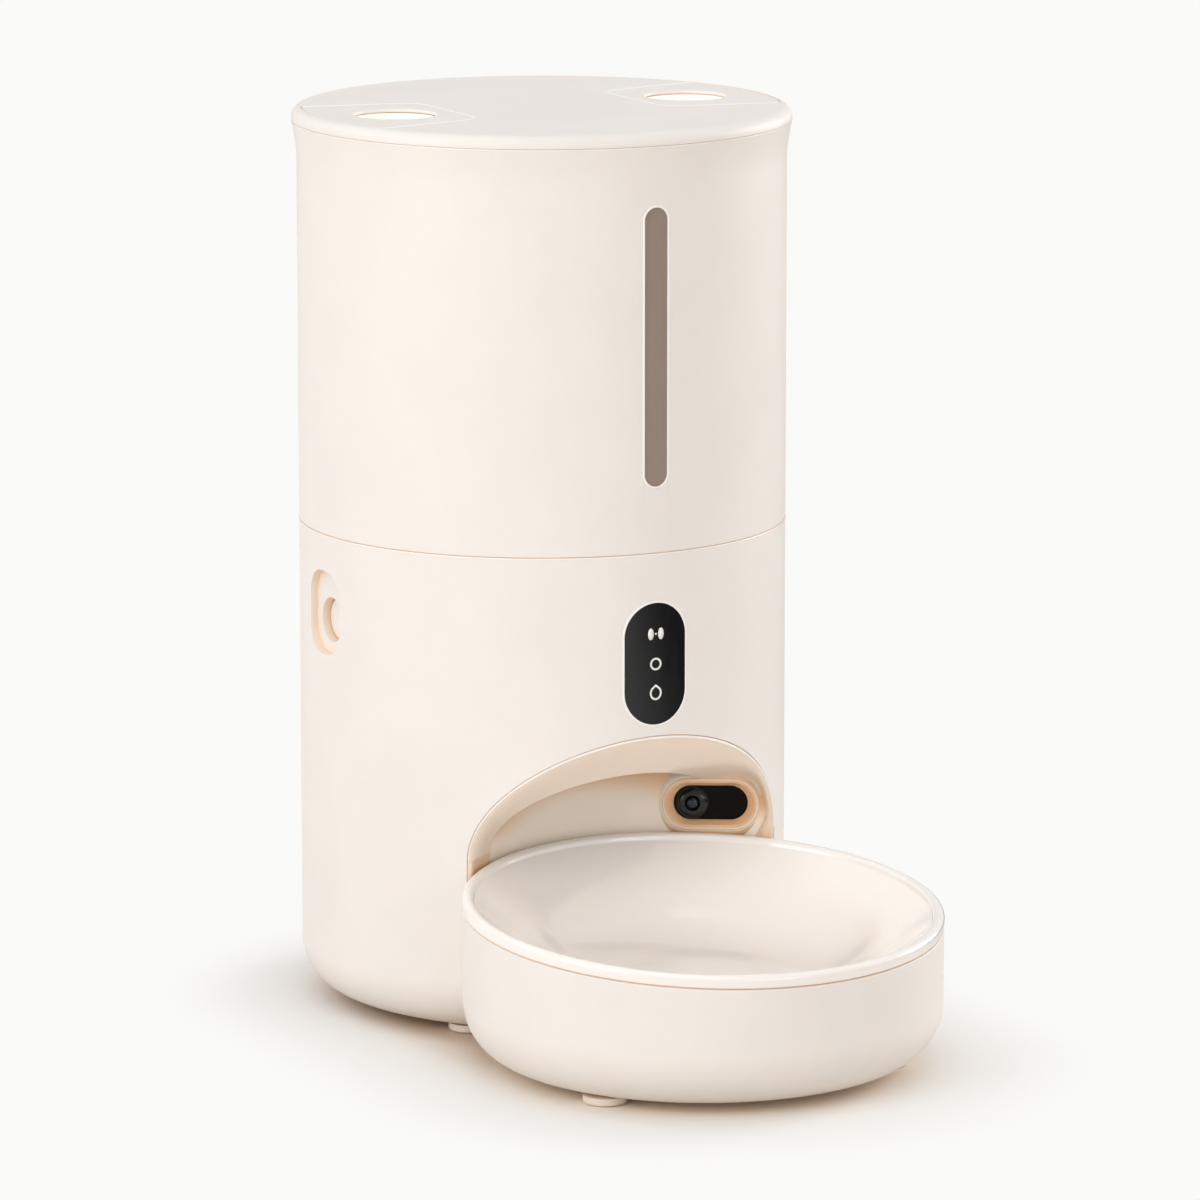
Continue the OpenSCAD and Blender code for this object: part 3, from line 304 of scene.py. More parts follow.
def glaze(name, colour):
    """Glossy moulded bowl: clear gloss over cream, with the faint waviness of a polished surface."""
    mat, tree, shader = new_material(name)
    base = linear(*colour)
    cloud = noise(tree, scale=22, detail=3)
    tree.links.new(mottled(tree, cloud, base, 0.975), shader.inputs["Base Color"])
    tree.links.new(spread(tree, noise(tree, scale=90, detail=3), 0.12, 0.18), shader.inputs["Roughness"])
    shader.inputs["Coat Weight"].default_value = 1
    shader.inputs["Coat Roughness"].default_value = 0.02
    bump(tree, shader, noise(tree, scale=60, detail=1), 0.02 * MM)
    return mat


def gloss_black(name, colour, rough, haze, shine):
    """Black gloss with fine wipe marks."""
    mat, tree, shader = new_material(name)
    base = linear(*colour)
    cloud = noise(tree, scale=120, detail=3)
    tree.links.new(mottled(tree, cloud, base, 0.85), shader.inputs["Base Color"])
    wipe = noise(tree, scale=260, detail=4, roughness=0.6, stretch=(1, 1, 0.2))
    tree.links.new(spread(tree, wipe, rough, rough + haze), shader.inputs["Roughness"])
    shader.inputs["Specular IOR Level"].default_value = shine
    return mat


def smoky(name, colour):
    """Smoky clear plastic: partly see-through, with a faint inner haze."""
    mat, tree, shader = new_material(name)
    base = linear(*colour)
    haze = noise(tree, scale=45, detail=3, roughness=0.5, stretch=(1, 1, 0.35))
    tree.links.new(mottled(tree, haze, base, 0.93), shader.inputs["Base Color"])
    tree.links.new(spread(tree, noise(tree, scale=700, detail=2), 0.1, 0.16), shader.inputs["Roughness"])
    shader.inputs["Transmission Weight"].default_value = 0.35
    shader.inputs["IOR"].default_value = 1.49
    return mat


def coated_glass(name, colour):
    """Lens glass with a blue coating that drifts over the dome."""
    mat, tree, shader = new_material(name)
    base = linear(*colour)
    drift = noise(tree, scale=300, detail=2)
    tree.links.new(mottled(tree, drift, base, 0.6, low=0.35, high=0.65), shader.inputs["Base Color"])
    tree.links.new(spread(tree, noise(tree, scale=900, detail=2), 0.02, 0.05), shader.inputs["Roughness"])
    shader.inputs["Specular IOR Level"].default_value = 0.45
    shader.inputs["Specular Tint"].default_value = (0.62, 0.74, 1, 1)
    shader.inputs["Coat Weight"].default_value = 0.4
    shader.inputs["Coat Roughness"].default_value = 0.02
    shader.inputs["Coat Tint"].default_value = (0.8, 0.87, 1, 1)
    return mat


def metal(name, colour, rough, stretch, depth):
    """Metal with drawn or turned lines."""
    mat, tree, shader = new_material(name)
    base = linear(*colour)
    lines = noise(tree, scale=900, detail=3, roughness=0.6, stretch=stretch)
    tree.links.new(mottled(tree, lines, base, 0.8), shader.inputs["Base Color"])
    tree.links.new(spread(tree, lines, rough * 0.8, rough * 1.25), shader.inputs["Roughness"])
    shader.inputs["Metallic"].default_value = 1
    bump(tree, shader, lines, depth * MM)
    return mat


def circuit_board(name, colour):
    """Solder mask with a hint of tracks under it."""
    mat, tree, shader = new_material(name)
    base = linear(*colour)
    coords = add(tree, "ShaderNodeTexCoord")
    bricks = add(tree, "ShaderNodeTexBrick")
    bricks.inputs["Scale"].default_value = 160
    bricks.inputs["Mortar Size"].default_value = 0.06
    bricks.inputs["Color1"].default_value = (*base, 1)
    bricks.inputs["Color2"].default_value = (*shaded(base, 0.8), 1)
    bricks.inputs["Mortar"].default_value = (*shaded(base, 1.6), 1)
    tree.links.new(coords.outputs["Object"], bricks.inputs["Vector"])
    tree.links.new(bricks.outputs["Color"], shader.inputs["Base Color"])
    tree.links.new(spread(tree, noise(tree, scale=400, detail=2), 0.3, 0.42), shader.inputs["Roughness"])
    bump(tree, shader, bricks.outputs["Fac"], 0.03 * MM)
    return mat


def printed_white(name):
    """Printed mark: bright white ink with a slight mottle, and a faint painted glow as if backlit."""
    mat, tree, shader = new_material(name)
    ink = linear(238, 238, 236)
    tree.links.new(mottled(tree, noise(tree, scale=900, detail=2), ink, 0.9), shader.inputs["Base Color"])
    shader.inputs["Roughness"].default_value = 0.4
    add_painted_glow(mat, (1, 1, 1), strength=0.08)
    return mat


CREAM = (244, 240, 236)
materials = {
    # The shell and the lining carry painted shade: a deeper, warmer colour in corners and gaps
    "shell": plastic("shell", CREAM, rough=0.45, grain=0.008, soft=0.08,
                     painted_shade_colour=(248, 222, 194), reach=5, shine=0.36),
    "lining": plastic("lining", (242, 227, 211), rough=0.4, grain=0.01, soft=0.08,
                      painted_shade_colour=(230, 190, 150), reach=22),
    "inner_plastic": plastic("inner_plastic", (228, 221, 212), rough=0.5, grain=0.015),
    "dark_plastic": plastic("dark_plastic", (44, 44, 46), rough=0.5, grain=0.02, vary=0.12),
    "panel_black": gloss_black("panel_black", (15, 15, 16), rough=0.16, haze=0.08, shine=0.55),
    "copper_trim": plastic("copper_trim", (242, 198, 156), rough=0.34, grain=0.006, vary=0.06, coat=0.3),
    "lens_black": gloss_black("lens_black", (15, 8, 4), rough=0.08, haze=0.05, shine=0.07),
    "lens_glass": coated_glass("lens_glass", (14, 17, 24)),
    "smoky_window": smoky("smoky_window", (190, 172, 160)),
    "bowl_glaze": glaze("bowl_glaze", (253, 249, 245)),
    "rubber": plastic("rubber", (236, 226, 214), rough=0.7, grain=0.03, vary=0.05),
    "silicone": plastic("silicone", (205, 198, 189), rough=0.55, grain=0.02, vary=0.05),
    "rotor_tan": plastic("rotor_tan", (198, 164, 134), rough=0.45, grain=0.012, vary=0.05),
    "gear_plastic": plastic("gear_plastic", (236, 231, 218), rough=0.38, grain=0.01, vary=0.04),
    "steel": metal("steel", (188, 190, 194), rough=0.28, stretch=(1, 1, 12), depth=0.006),
    "bronze": metal("bronze", (196, 150, 92), rough=0.36, stretch=(1, 1, 1), depth=0.015),
    "board": circuit_board("board", (32, 92, 58)),
    "cell_sleeve": plastic("cell_sleeve", (118, 128, 88), rough=0.3, grain=0.004, vary=0.06, coat=0.5),
}
mark_white = printed_white("mark_white")
ring_black = gloss_black("ring_black", (16, 16, 19), rough=0.12, haze=0.05, shine=0.4)
# Rims and rolled edges: rounded and glossy, in a white brighter than the shell that paints their highlights
trim_white_painted_highlight = plastic("trim_white_painted_highlight", (253, 251, 248), rough=0.3, grain=0.004, vary=0.01, coat=0.4)
# Finger cups: a lighter copy of the shell's cream with a painted glow, which stand in for daylight through
# their thin walls
cup_white_painted_glow = plastic("cup_white_painted_glow", (252, 248, 243), rough=0.4, grain=0.006, vary=0.01)
add_painted_glow(cup_white_painted_glow, (1, 0.985, 0.96), strength=0.15)
# Cover lines: white with a painted glow, which paint the highlight on the covers' edges
line_white_painted_highlight = plastic("line_white_painted_highlight", (254, 252, 249), rough=0.3, grain=0.004, vary=0.01, coat=0.4)
add_painted_glow(line_white_painted_highlight, (1, 0.985, 0.97), strength=0.08)
# The recess wall: a lighter copy of the lining's cream, which paints light into the hood's shadow, with
# painted shade towards the hood's lip
wall_cream_painted_light_and_shade = wall_with_painted_lip_shade("wall_cream_painted_light_and_shade", (254, 241, 225), (232, 186, 140))
rim_cream = plastic("rim_cream", (252, 238, 222), rough=0.4, grain=0.004, vary=0.01)
# Seams: a tan filler that paints the shade inside each seam
seam_tan_painted_shade = plastic("seam_tan_painted_shade", (226, 202, 180), rough=0.5, grain=0.01, vary=0.05)


# Edges and smooth shading of the pieces that keep their own shape

EDGE_MM = {"shell": 0.45, "lining": 0.4, "bowl_glaze": 0.3, "rubber": 0.3, "inner_plastic": 0.35,
           "panel_black": 0.35, "smoky_window": 0.3, "dark_plastic": 0.3, "rotor_tan": 0.3}
OTHER_EDGE_MM = 0.15
EDGE_SEGMENTS = 2
SHARP_FROM = math.radians(40)
WELD_GAP = 0.01 * MM
NORMAL_WEIGHT = 80
PLAIN_ATTRIBUTES = ("custom_normal", "sharp_edge", "sharp_face")
# Pieces with faces too narrow to leave room for a round
NO_ROOM = ("base_shell", "base_plate", "rotor")


def soften(obj, slot, rounded):
    """Joined, smooth faces with a small round on each sharp edge where there is room for it."""
    for name in PLAIN_ATTRIBUTES:
        if name in obj.data.attributes:
            obj.data.attributes.remove(obj.data.attributes[name])
    weld = obj.modifiers.new("weld", "WELD")
    weld.merge_threshold = WELD_GAP
    if rounded:
        edge = obj.modifiers.new("edge", "BEVEL")
        edge.width = EDGE_MM.get(slot, OTHER_EDGE_MM) * MM
        edge.segments = EDGE_SEGMENTS
        edge.limit_method = "ANGLE"
        edge.angle_limit = SHARP_FROM
        edge.miter_outer = "MITER_ARC"
    normals = obj.modifiers.new("normals", "WEIGHTED_NORMAL")
    normals.weight = NORMAL_WEIGHT


# Thin cups with a painted glow that stands in for daylight through their walls, and the wall behind the bowl
# with its painted light and painted shade
own_material = {"lid_latch_left": cup_white_painted_glow, "lid_latch_right": cup_white_painted_glow, "recess_liner": wall_cream_painted_light_and_shade}

for node_name, node_obj in nodes.items():
    node_slot = slot_of[node_name]
    node_obj.data.materials.clear()
    node_obj.data.materials.append(own_material.get(node_name, materials[node_slot]))
    soften(node_obj, node_slot, node_name not in NO_ROOM)


# Cosine of the angle up to which faces shade as one
SMOOTH_UNDER = math.cos(math.radians(35))
# A corner counts as part of the round outer wall this close to it, with a face that looks outwards
WALL_NEAR = 0.03 * MM
WALL_FACING = 0.99


def softened_mesh(node_name):
    """A node's mesh with its edges and welds applied."""
    graph = bpy.context.evaluated_depsgraph_get()
    return bpy.data.meshes.new_from_object(nodes[node_name].evaluated_get(graph))


def stand_in(name, mesh, node_name, body):
    """A new piece that is shown in a node's place."""
    piece = bpy.data.objects.new(name, mesh)
    bpy.context.scene.collection.objects.link(piece)
    nodes[node_name].modifiers.clear()
    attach(piece, body)
    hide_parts(node_name)
    return piece


def round_skin(node_name, body):
    """The same piece, its outer wall shaded as the true cylinder it is and the rest smooth at soft edges."""
    mesh = softened_mesh(node_name)
    meeting = [[] for _ in mesh.vertices]
    for face in mesh.polygons:
        for vertex in face.vertices:
            meeting[vertex].append(face)
    turned_to = []
    for face in mesh.polygons:
        for vertex in face.vertices:
            at = mesh.vertices[vertex].co
            out = Vector((at.x, at.y - TOWER_Y, 0))
            facing = face.normal.dot(out.normalized())
            if abs(out.length - TOWER_R) < WALL_NEAR and facing > WALL_FACING:
                turned_to.append(out.normalized())
                continue
            mean = Vector()
            for other in meeting[vertex]:
                if other.normal.dot(face.normal) > SMOOTH_UNDER:
                    mean += other.normal * math.sqrt(other.area)
            turned_to.append(mean.normalized() if mean.length else face.normal.copy())
    mesh.normals_split_custom_set([tuple(n) for n in turned_to])
    stand_in(node_name + "_skin", mesh, node_name, body)


def make_springs():
    """Coil springs as new pieces with meshes of their own, attached to their joints' parent bodies."""
    for joint in frame["joints"]:
        for row in joint.get("deforming_nodes") or []:
            node_name = row["node"]
            spring = stand_in(node_name + "_coil", softened_mesh(node_name), node_name, joint["parent"])
            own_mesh(spring)


round_skin("base_shell", "base")
round_skin("hopper_shell", "hopper")
make_springs()

# The lid's flat pieces lie a hair below the painted highlight lines round the latch covers
LINE_PROUD = 0.16 * MM
for node_name in ("lid_top", "latch_cover_left", "latch_cover_right"):
    sink = nodes[node_name].modifiers.new("sink", "DISPLACE")
    sink.direction = "Z"
    sink.mid_level = 0
    sink.strength = -LINE_PROUD


# Mesh building blocks

JOIN_GAP = 0.001 * MM
# Sides of a thin round bead
BEAD_SIDES = 12


def make_piece(name, points, faces, body, slot, material=None):
    """A new smooth piece that moves with a body, in its slot's material or one of its own."""
    mesh = bpy.data.meshes.new(name)
    mesh.from_pydata(points, [], faces)
    mesh.validate()
    bm = bmesh.new()
    bm.from_mesh(mesh)
    bmesh.ops.remove_doubles(bm, verts=bm.verts, dist=JOIN_GAP)
    loose = [edge for edge in bm.edges if not edge.link_faces]
    bmesh.ops.delete(bm, geom=loose, context="EDGES")
    bmesh.ops.recalc_face_normals(bm, faces=bm.faces)
    bm.to_mesh(mesh)
    bm.free()
    for face in mesh.polygons:
        face.use_smooth = True
    obj = bpy.data.objects.new(name, mesh)
    bpy.context.scene.collection.objects.link(obj)
    mesh.materials.append(material or materials[slot])
    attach(obj, body)
    return obj


def loft(rings, closed_run=False):
    """Points and faces through closed rings of equal length. An open run of rings gets flat ends."""
    count = len(rings[0])
    points = [p for ring in rings for p in ring]
    faces = []
    runs = len(rings) if closed_run else len(rings) - 1
    for i in range(runs):
        for j in range(count):
            k = (j + 1) % count
            n = (i + 1) % len(rings)
            faces.append((i * count + j, i * count + k, n * count + k, n * count + j))
    if not closed_run:
        faces.append(tuple(range(count)))
        faces.append(tuple((len(rings) - 1) * count + j for j in reversed(range(count))))
    return points, faces


def whole_turn(steps):
    """Angles of even steps round a full circle."""
    return [2 * math.pi * i / steps for i in range(steps)]


def half_turn(steps):
    """Angles of even steps over half a circle, with both ends."""
    return [math.pi * i / steps for i in range(steps + 1)]


def on_tower(x, z, radius):
    """A point on the front of a cylinder about the tower's axis."""
    return (x, TOWER_Y - math.sqrt(radius * radius - x * x), z)


def pill(width, height, steps):
    """Points and outward directions of an upright pill, from its right side round over the top."""
    r = width / 2
    out = []
    for side, start in ((1, 0), (-1, 180)):
        for i in range(steps + 1):
            a = math.radians(start + 180 * i / steps)
            turn = (math.cos(a), math.sin(a))
            out.append(((r * turn[0], side * (height / 2 - r) + r * turn[1]), turn))
    return out


TRIM_GROW = 0.5 * MM
TRIM_HALF = 0.42 * MM
TRIM_PROUD = 0.3 * MM
TRIM_DEEP = 0.6 * MM
TRIM_FACE_R = TOWER_R - 0.05 * MM
TRIM_STEPS = 32
TRIM_ACROSS = 10


def trim_ring(name, width, height, mid_z, body):
    """Thin round-topped rim that follows a pill-shaped opening in the tower's face, whiter than the shell to
    paint the highlight of the opening's edge.
    """
    rings = []
    for (x, z), (dx, dz) in pill(width + TRIM_GROW, height + TRIM_GROW, TRIM_STEPS):
        ring = []
        for a in half_turn(TRIM_ACROSS):
            off = TRIM_HALF * math.cos(a)
            up = TRIM_PROUD * math.sin(a)
            ring.append(on_tower(x + dx * off, mid_z + z + dz * off, TRIM_FACE_R + up))
        for off in (-TRIM_HALF, TRIM_HALF):
            ring.append(on_tower(x + dx * off, mid_z + z + dz * off, TRIM_FACE_R - TRIM_DEEP))
        rings.append(ring)
    points, faces = loft(rings, closed_run=True)
    make_piece(name, points, faces, body, "shell", trim_white_painted_highlight)


# Outlet hood: one smooth soffit from a rolled edge at the arch to a round lip, which runs out into
# the recess wall round the camera

HOOD_STEPS = 168
# Share of the way from arch to lip, and depth behind the tower's face in millimetres
HOOD_FACE = [(0.001, 0.9), (0.012, 0.4), (0.024, 0.14), (0.045, 0.08), (0.07, 0.16), (0.1, 0.4), (0.16, 1.0),
             (0.22, 1.85), (0.32, 3.6), (0.44, 5.9), (0.56, 8.5), (0.68, 11.0), (0.8, 13.4), (0.9, 15.3),
             (0.955, 16.4), (0.985, 17.2), (1, 17.9)]
HOOD_BACK = [(0.99, 18.6), (0.96, 19.0), (0.92, 18.9), (0.8, 17.0), (0.6, 13.4), (0.3, 8), (0.13, 5.2),
             (0.012, 4.2)]
# Room left between the recess wall and the soffit's face or back
FACE_GAP = 0.7 * MM
BACK_GAP = 0.25 * MM
# Reach of the hood's feet from the bowl's axis, and the degrees above the foot over which it is let go
FOOT_KEEP = 92.3 * MM
FOOT_ENDS = 14
# How far the soffit may run into the wall under the camera's collar and at the rolled edge
INTO_COLLAR = 5 * MM
INTO_EDGE = 3 * MM
# Distances from the bezel over which the soffit leaves the collar and leaves the wall
COLLAR_LEAVES = (1 * MM, 5 * MM)
WALL_LEAVES = (3 * MM, 13 * MM)
# Shares of the way from arch to lip over which the rolled edge ends and the run to the wall begins
EDGE_ENDS = (0.02, 0.14)
RUN_BEGINS = (0.06, 0.5)
# How far the soffit falls for each length that it runs back to the wall
ROOF_FALL = 0.2
# How far below the arch's feet the hood goes on
FOOT_DROPS = (10 * MM, 5 * MM)


def smooth(start, stop, value):
    """Goes softly from 0 at start to 1 at stop."""
    t = min(1, max(0, (value - start) / (stop - start)))
    return t * t * (3 - 2 * t)


def from_camera(x, y, z):
    """Distance from the camera bezel's outline, seen along the camera's own axis."""
    across = x * math.cos(CAMERA_TURN) - y * math.sin(CAMERA_TURN)
    straight = (CAMERA_W - CAMERA_H) / 2
    return math.hypot(max(abs(across) - straight, 0), z - CAMERA_Z) - CAMERA_H / 2


def hood_point(share, depth, angle, gap, drop=0.0):
    """A point of the soffit, held inside the recess wall and led back to it round the camera."""
    half = ARCH_HALF + (LIP_HALF - ARCH_HALF) * share
    rise = ARCH_RISE + (LIP_RISE - ARCH_RISE) * share
    x = half * math.cos(angle)
    z = ARCH_Z + rise * math.sin(angle) - drop
    radius = TOWER_R - depth * MM
    y = BOWL_GAP - math.sqrt(radius * radius - x * x)
    reach = math.hypot(x, y)
    near = from_camera(x, y, z)
    limit = RECESS_R - gap + INTO_COLLAR * (1 - smooth(*COLLAR_LEAVES, near))
    limit += INTO_EDGE * (1 - smooth(*EDGE_ENDS, share))
    back = (1 - smooth(*WALL_LEAVES, near)) * smooth(*RUN_BEGINS, share)
    wanted = reach + (limit - reach) * back
    above_foot = math.degrees(min(angle, math.pi - angle))
    wanted = max(wanted, FOOT_KEEP * (1 - smooth(0, FOOT_ENDS, above_foot)))
    held = min(wanted, limit) / reach
    return (x * held, TOWER_Y - BOWL_GAP + y * held, z - ROOF_FALL * reach * max(0, held - 1))


def make_bead():
    """Rolled edge of the hood, just inside the arch, in white that paints the edge's highlight."""
    half = 0.5 * MM
    rings = []
    for angle in half_turn(HOOD_STEPS):
        x, y, z = hood_point(share=0.05, depth=0.3, angle=angle, gap=FACE_GAP)
        out = Vector((math.cos(angle) * ARCH_RISE, 0, math.sin(angle) * ARCH_HALF)).normalized()
        face = Vector((x, y - TOWER_Y, 0)).normalized()
        ring = []
        for a in whole_turn(BEAD_SIDES):
            ring.append(tuple(Vector((x, y, z)) + (out * math.cos(a) + face * math.sin(a)) * half))
        rings.append(ring)
    points, faces = loft(rings)
    make_piece("arch_bead", points, faces, "base", "lining", trim_white_painted_highlight)


def hood_ring(angle, drop=0.0):
    ring = [hood_point(s, d, angle, FACE_GAP, drop) for s, d in HOOD_FACE]
    return ring + [hood_point(s, d, angle, BACK_GAP, drop) for s, d in HOOD_BACK]


def make_hood():
    rings = [hood_ring(0, drop) for drop in FOOT_DROPS]
    rings += [hood_ring(angle) for angle in half_turn(HOOD_STEPS)]
    rings += [hood_ring(math.pi, drop) for drop in reversed(FOOT_DROPS)]
    points, faces = loft(rings)
    hood = make_piece("hood_soffit", points, faces, "base", "lining")
    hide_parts("outlet_hood")


# Camera: everything about its own frame, with y from the bowl's axis to the wall

def camera_point(x, y, z):
    turn = Matrix.Rotation(-CAMERA_TURN, 3, "Z")
    p = turn @ Vector((x, y, z))
    return (p.x, p.y + TOWER_Y - BOWL_GAP, p.z + CAMERA_Z)


def lying_pill(width, height, steps=28):
    return [((z, x), (dz, dx)) for (x, z), (dx, dz) in pill(height, width, steps)]


# Distance out from the bezel's edge and depth behind its front in millimetres
COLLAR = [(0, 4.5), (0, 0.9), (0.2, 0.3), (0.6, 0.02), (1.1, -0.06), (1.7, 0.0), (2.3, 0.15), (3.0, 0.5),
          (4.0, 1.0), (5.2, 1.5), (7.0, 2.0), (9.0, 2.4)]
COLLAR_EDGE = 2.3
COLLAR_REACH = COLLAR[-1][0]
COLLAR_BACK = 1.2 * MM
COLLAR_CLEAR = 0.4 * MM
COLLAR_SINK = 0.15 * MM
# Share by which the collar is narrower on the camera's right
COLLAR_NARROWS = 0.55
RIM_GROW = 0.7 * MM


def make_collar():
    """Soft swelling of the recess wall round the camera."""
    rings = []
    for (x, z), (dx, dz) in lying_pill(CAMERA_W + COLLAR_CLEAR, CAMERA_H + COLLAR_CLEAR):
        ring = []
        for out, back in COLLAR:
            reach = out * (1 - COLLAR_NARROWS * max(0, dx))
            px = x + dx * reach * MM
            pz = z + dz * reach * MM
            wall = math.sqrt(RECESS_R ** 2 - px * px)
            flat = BEZEL_FRONT + back * MM
            share = smooth(COLLAR_EDGE, COLLAR_REACH, out)
            ring.append(camera_point(px, flat * (1 - share) + (wall + COLLAR_SINK) * share, pz))
        ring.append(camera_point(px, wall + COLLAR_BACK, pz))
        ring.append(camera_point(x, RECESS_R + COLLAR_BACK, z))
        rings.append(ring)
    points, faces = loft(rings, closed_run=True)
    make_piece("camera_collar", points, faces, "base", "lining")


def make_bezel_rim():
    """Thin bright bead between the camera bezel and the collar."""
    half = 0.36 * MM
    rings = []
    for (x, z), (dx, dz) in lying_pill(CAMERA_W + RIM_GROW, CAMERA_H + RIM_GROW):
        ring = []
        for a in whole_turn(BEAD_SIDES):
            off = half * math.cos(a)
            ring.append(camera_point(x + dx * off, BEZEL_FRONT + half * math.sin(a), z + dz * off))
        rings.append(ring)
    points, faces = loft(rings, closed_run=True)
    make_piece("bezel_rim", points, faces, "base", "lining", rim_cream)


MARK_LINE = 0.75 * MM
OVAL_W = 2.4 * MM
OVAL_H = 4.6 * MM
OVAL_X = 2.15 * MM
OVAL_Z = 159.2 * MM
DOT_D = 0.8 * MM
RING_D = 4.9 * MM
RING_Z = 147.5 * MM
DROP_W = 5.1 * MM
DROP_H = 5.5 * MM
DROP_Z = 136.2 * MM


def inlay(name, outline, hole, mid_z):
    """Printed mark on the panel: a thin plate that follows the tower's curve."""
    lift = 0.03 * MM
    sunk = 0.1 * MM
    levels = [(outline, -sunk), (outline, lift)]
    if hole:
        levels += [(hole, lift), (hole, -sunk)]
    rings = [[on_tower(x, mid_z + z, PANEL_FACE_R + up) for x, z in ring] for ring, up in levels]
    points, faces = loft(rings, closed_run=bool(hole))
    make_piece(name, points, faces, "base", "panel_black", mark_white)


def ellipse(width, height, x=0.0, steps=40):
    return [(x + width / 2 * math.cos(a), height / 2 * math.sin(a)) for a in whole_turn(steps)]


def drop(width, height, grow=0.0, steps=48):
    """Round drop with a point at its top."""
    sharp = 14
    narrow = 0.3
    tall = 0.22
    out = []
    for a in whole_turn(steps):
        tip = max(0, math.sin(a)) ** sharp
        x = (width / 2 + grow) * math.cos(a) * (1 - narrow * tip)
        z = (height / 2 + grow) * math.sin(a) * (1 + tall * tip)
        out.append((x, z))
    return out


def make_marks():
    for side, name in ((-1, "left"), (1, "right")):
        inlay("mark_oval_" + name, ellipse(OVAL_W, OVAL_H, side * OVAL_X), None, OVAL_Z)
    inlay("mark_dot", ellipse(DOT_D, DOT_D), None, OVAL_Z)
    ring_hole = RING_D - 2 * MARK_LINE
    inlay("mark_ring", ellipse(RING_D, RING_D), ellipse(ring_hole, ring_hole), RING_Z)
    inlay("mark_drop", drop(DROP_W, DROP_H), drop(DROP_W, DROP_H, -MARK_LINE), DROP_Z)


def turned(name, profile, place, body, slot, material=None, steps=96):
    """Ring or dome turned from (radius, height) points. place puts (x, y, height) in the frame."""
    rings = []
    for a in whole_turn(steps):
        rings.append([place(r * math.cos(a), r * math.sin(a), h) for r, h in profile])
    points, faces = loft(rings, closed_run=True)
    return make_piece(name, points, faces, body, slot, material)


def millimetres(profile):
    return [(r * MM, h * MM) for r, h in profile]


def at_lens(x, y, depth):
    return camera_point(LENS_X + x, BEZEL_FRONT + depth, y)


def at_tower(x, y, z):
    return (x, TOWER_Y + y, z)


def at_bowl(x, y, z):
    turn = Matrix.Rotation(BOWL_TILT, 3, "X")
    p = turn @ Vector((x, y, z))
    return (p.x, p.y + TOWER_Y - BOWL_GAP, p.z + BOWL_Z)


# Radius and depth behind the bezel's front in millimetres
LENS_RING = [(6.7, 4.0), (6.7, 2.7), (6.5, 2.3), (5.9, 1.7), (5.0, 1.15), (4.0, 0.8), (3.3, 0.7), (3.05, 0.8),
             (2.9, 1.3), (2.6, 1.4), (2.6, 4.0)]
LENS_DOME = [(0, 0.3), (0.7, 0.35), (1.4, 0.54), (2.0, 0.9), (2.4, 1.35), (2.5, 1.8), (2.5, 3.5), (0, 3.5)]


def make_lens():
    ring = turned("lens_ring", millimetres(LENS_RING), at_lens, "base", "lens_black", ring_black)
    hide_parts("lens_barrel")
    dome = turned("lens_dome", millimetres(LENS_DOME), at_lens, "base", "lens_glass")
    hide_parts("camera_lens")


SEAM_STEPS = 192
# How far the tan seam fillers that paint the seams' shade and the white edges that paint the edges'
# highlights lie behind the faces and below the seams
SEAM_SHADE_IN = 0.4 * MM
BOWL_SEAM_SHADE_IN = 0.7 * MM
BASE_EDGE_IN = 0.22 * MM
HOPPER_EDGE_IN = 0.36 * MM
EDGE_BELOW = 0.5 * MM


def paint_seam_shade(name, radius, mid, place, body):
    """Painted seam shade: a soft tan line that closes a seam a little behind the face."""
    half = 0.45 * MM
    inside = radius - 0.9 * MM
    profile = [(radius, mid - half), (radius, mid + half), (inside, mid + half), (inside, mid - half)]
    turned(name, profile, place, body, "silicone", seam_tan_painted_shade, SEAM_STEPS)


def edge_bead(name, radius, mid, body):
    """Rolled edge of a shell just below a seam, in white that paints the edge's highlight."""
    half = 0.34 * MM
    profile = [(radius + half * math.cos(a), mid + half * math.sin(a)) for a in whole_turn(BEAD_SIDES)]
    turned(name, profile, at_tower, body, "shell", trim_white_painted_highlight, SEAM_STEPS)


FINGER_X = LID_R - 34 * MM
CUP_INSIDE = 15.45 * MM
CUP_OUTSIDE = 16.1 * MM
CUP_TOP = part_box("lid_latch_left")[1].z
CUP_LAP = 0.4 * MM
CUP_CLEAR = 0.1 * MM
CUP_EASE = 0.25 * MM
COVER_THICK = 1.5 * MM
COVER_UNDER = LID_TOP - COVER_THICK - LINE_PROUD


def make_cup_sleeve(side, name, body):
    """Upper wall of a latch's finger cup, which hides the slot that the cup slides in."""
    def place(x, y, z):
        return (side * FINGER_X + x, TOWER_Y + y, z)

    foot = CUP_TOP - CUP_LAP
    top = COVER_UNDER - CUP_CLEAR
    profile = [(CUP_OUTSIDE, foot), (CUP_OUTSIDE, top), (CUP_INSIDE + CUP_EASE, top),
               (CUP_INSIDE, top - CUP_EASE), (CUP_INSIDE, foot)]
    turned(name, profile, place, body, "shell", cup_white_painted_glow)


COVER_SLOPE = math.radians(11.7)
COVER_IN = 40 * MM
COVER_HALF = 27 * MM
COVER_CORNER = 10 * MM
COVER_RIM = 93 * MM
COVER_GAP = 0.25 * MM
COVER_SIDE = 52 * MM
SIDE_STEPS = 40
CORNER_STEPS = 24
LINE_STEPS = 8


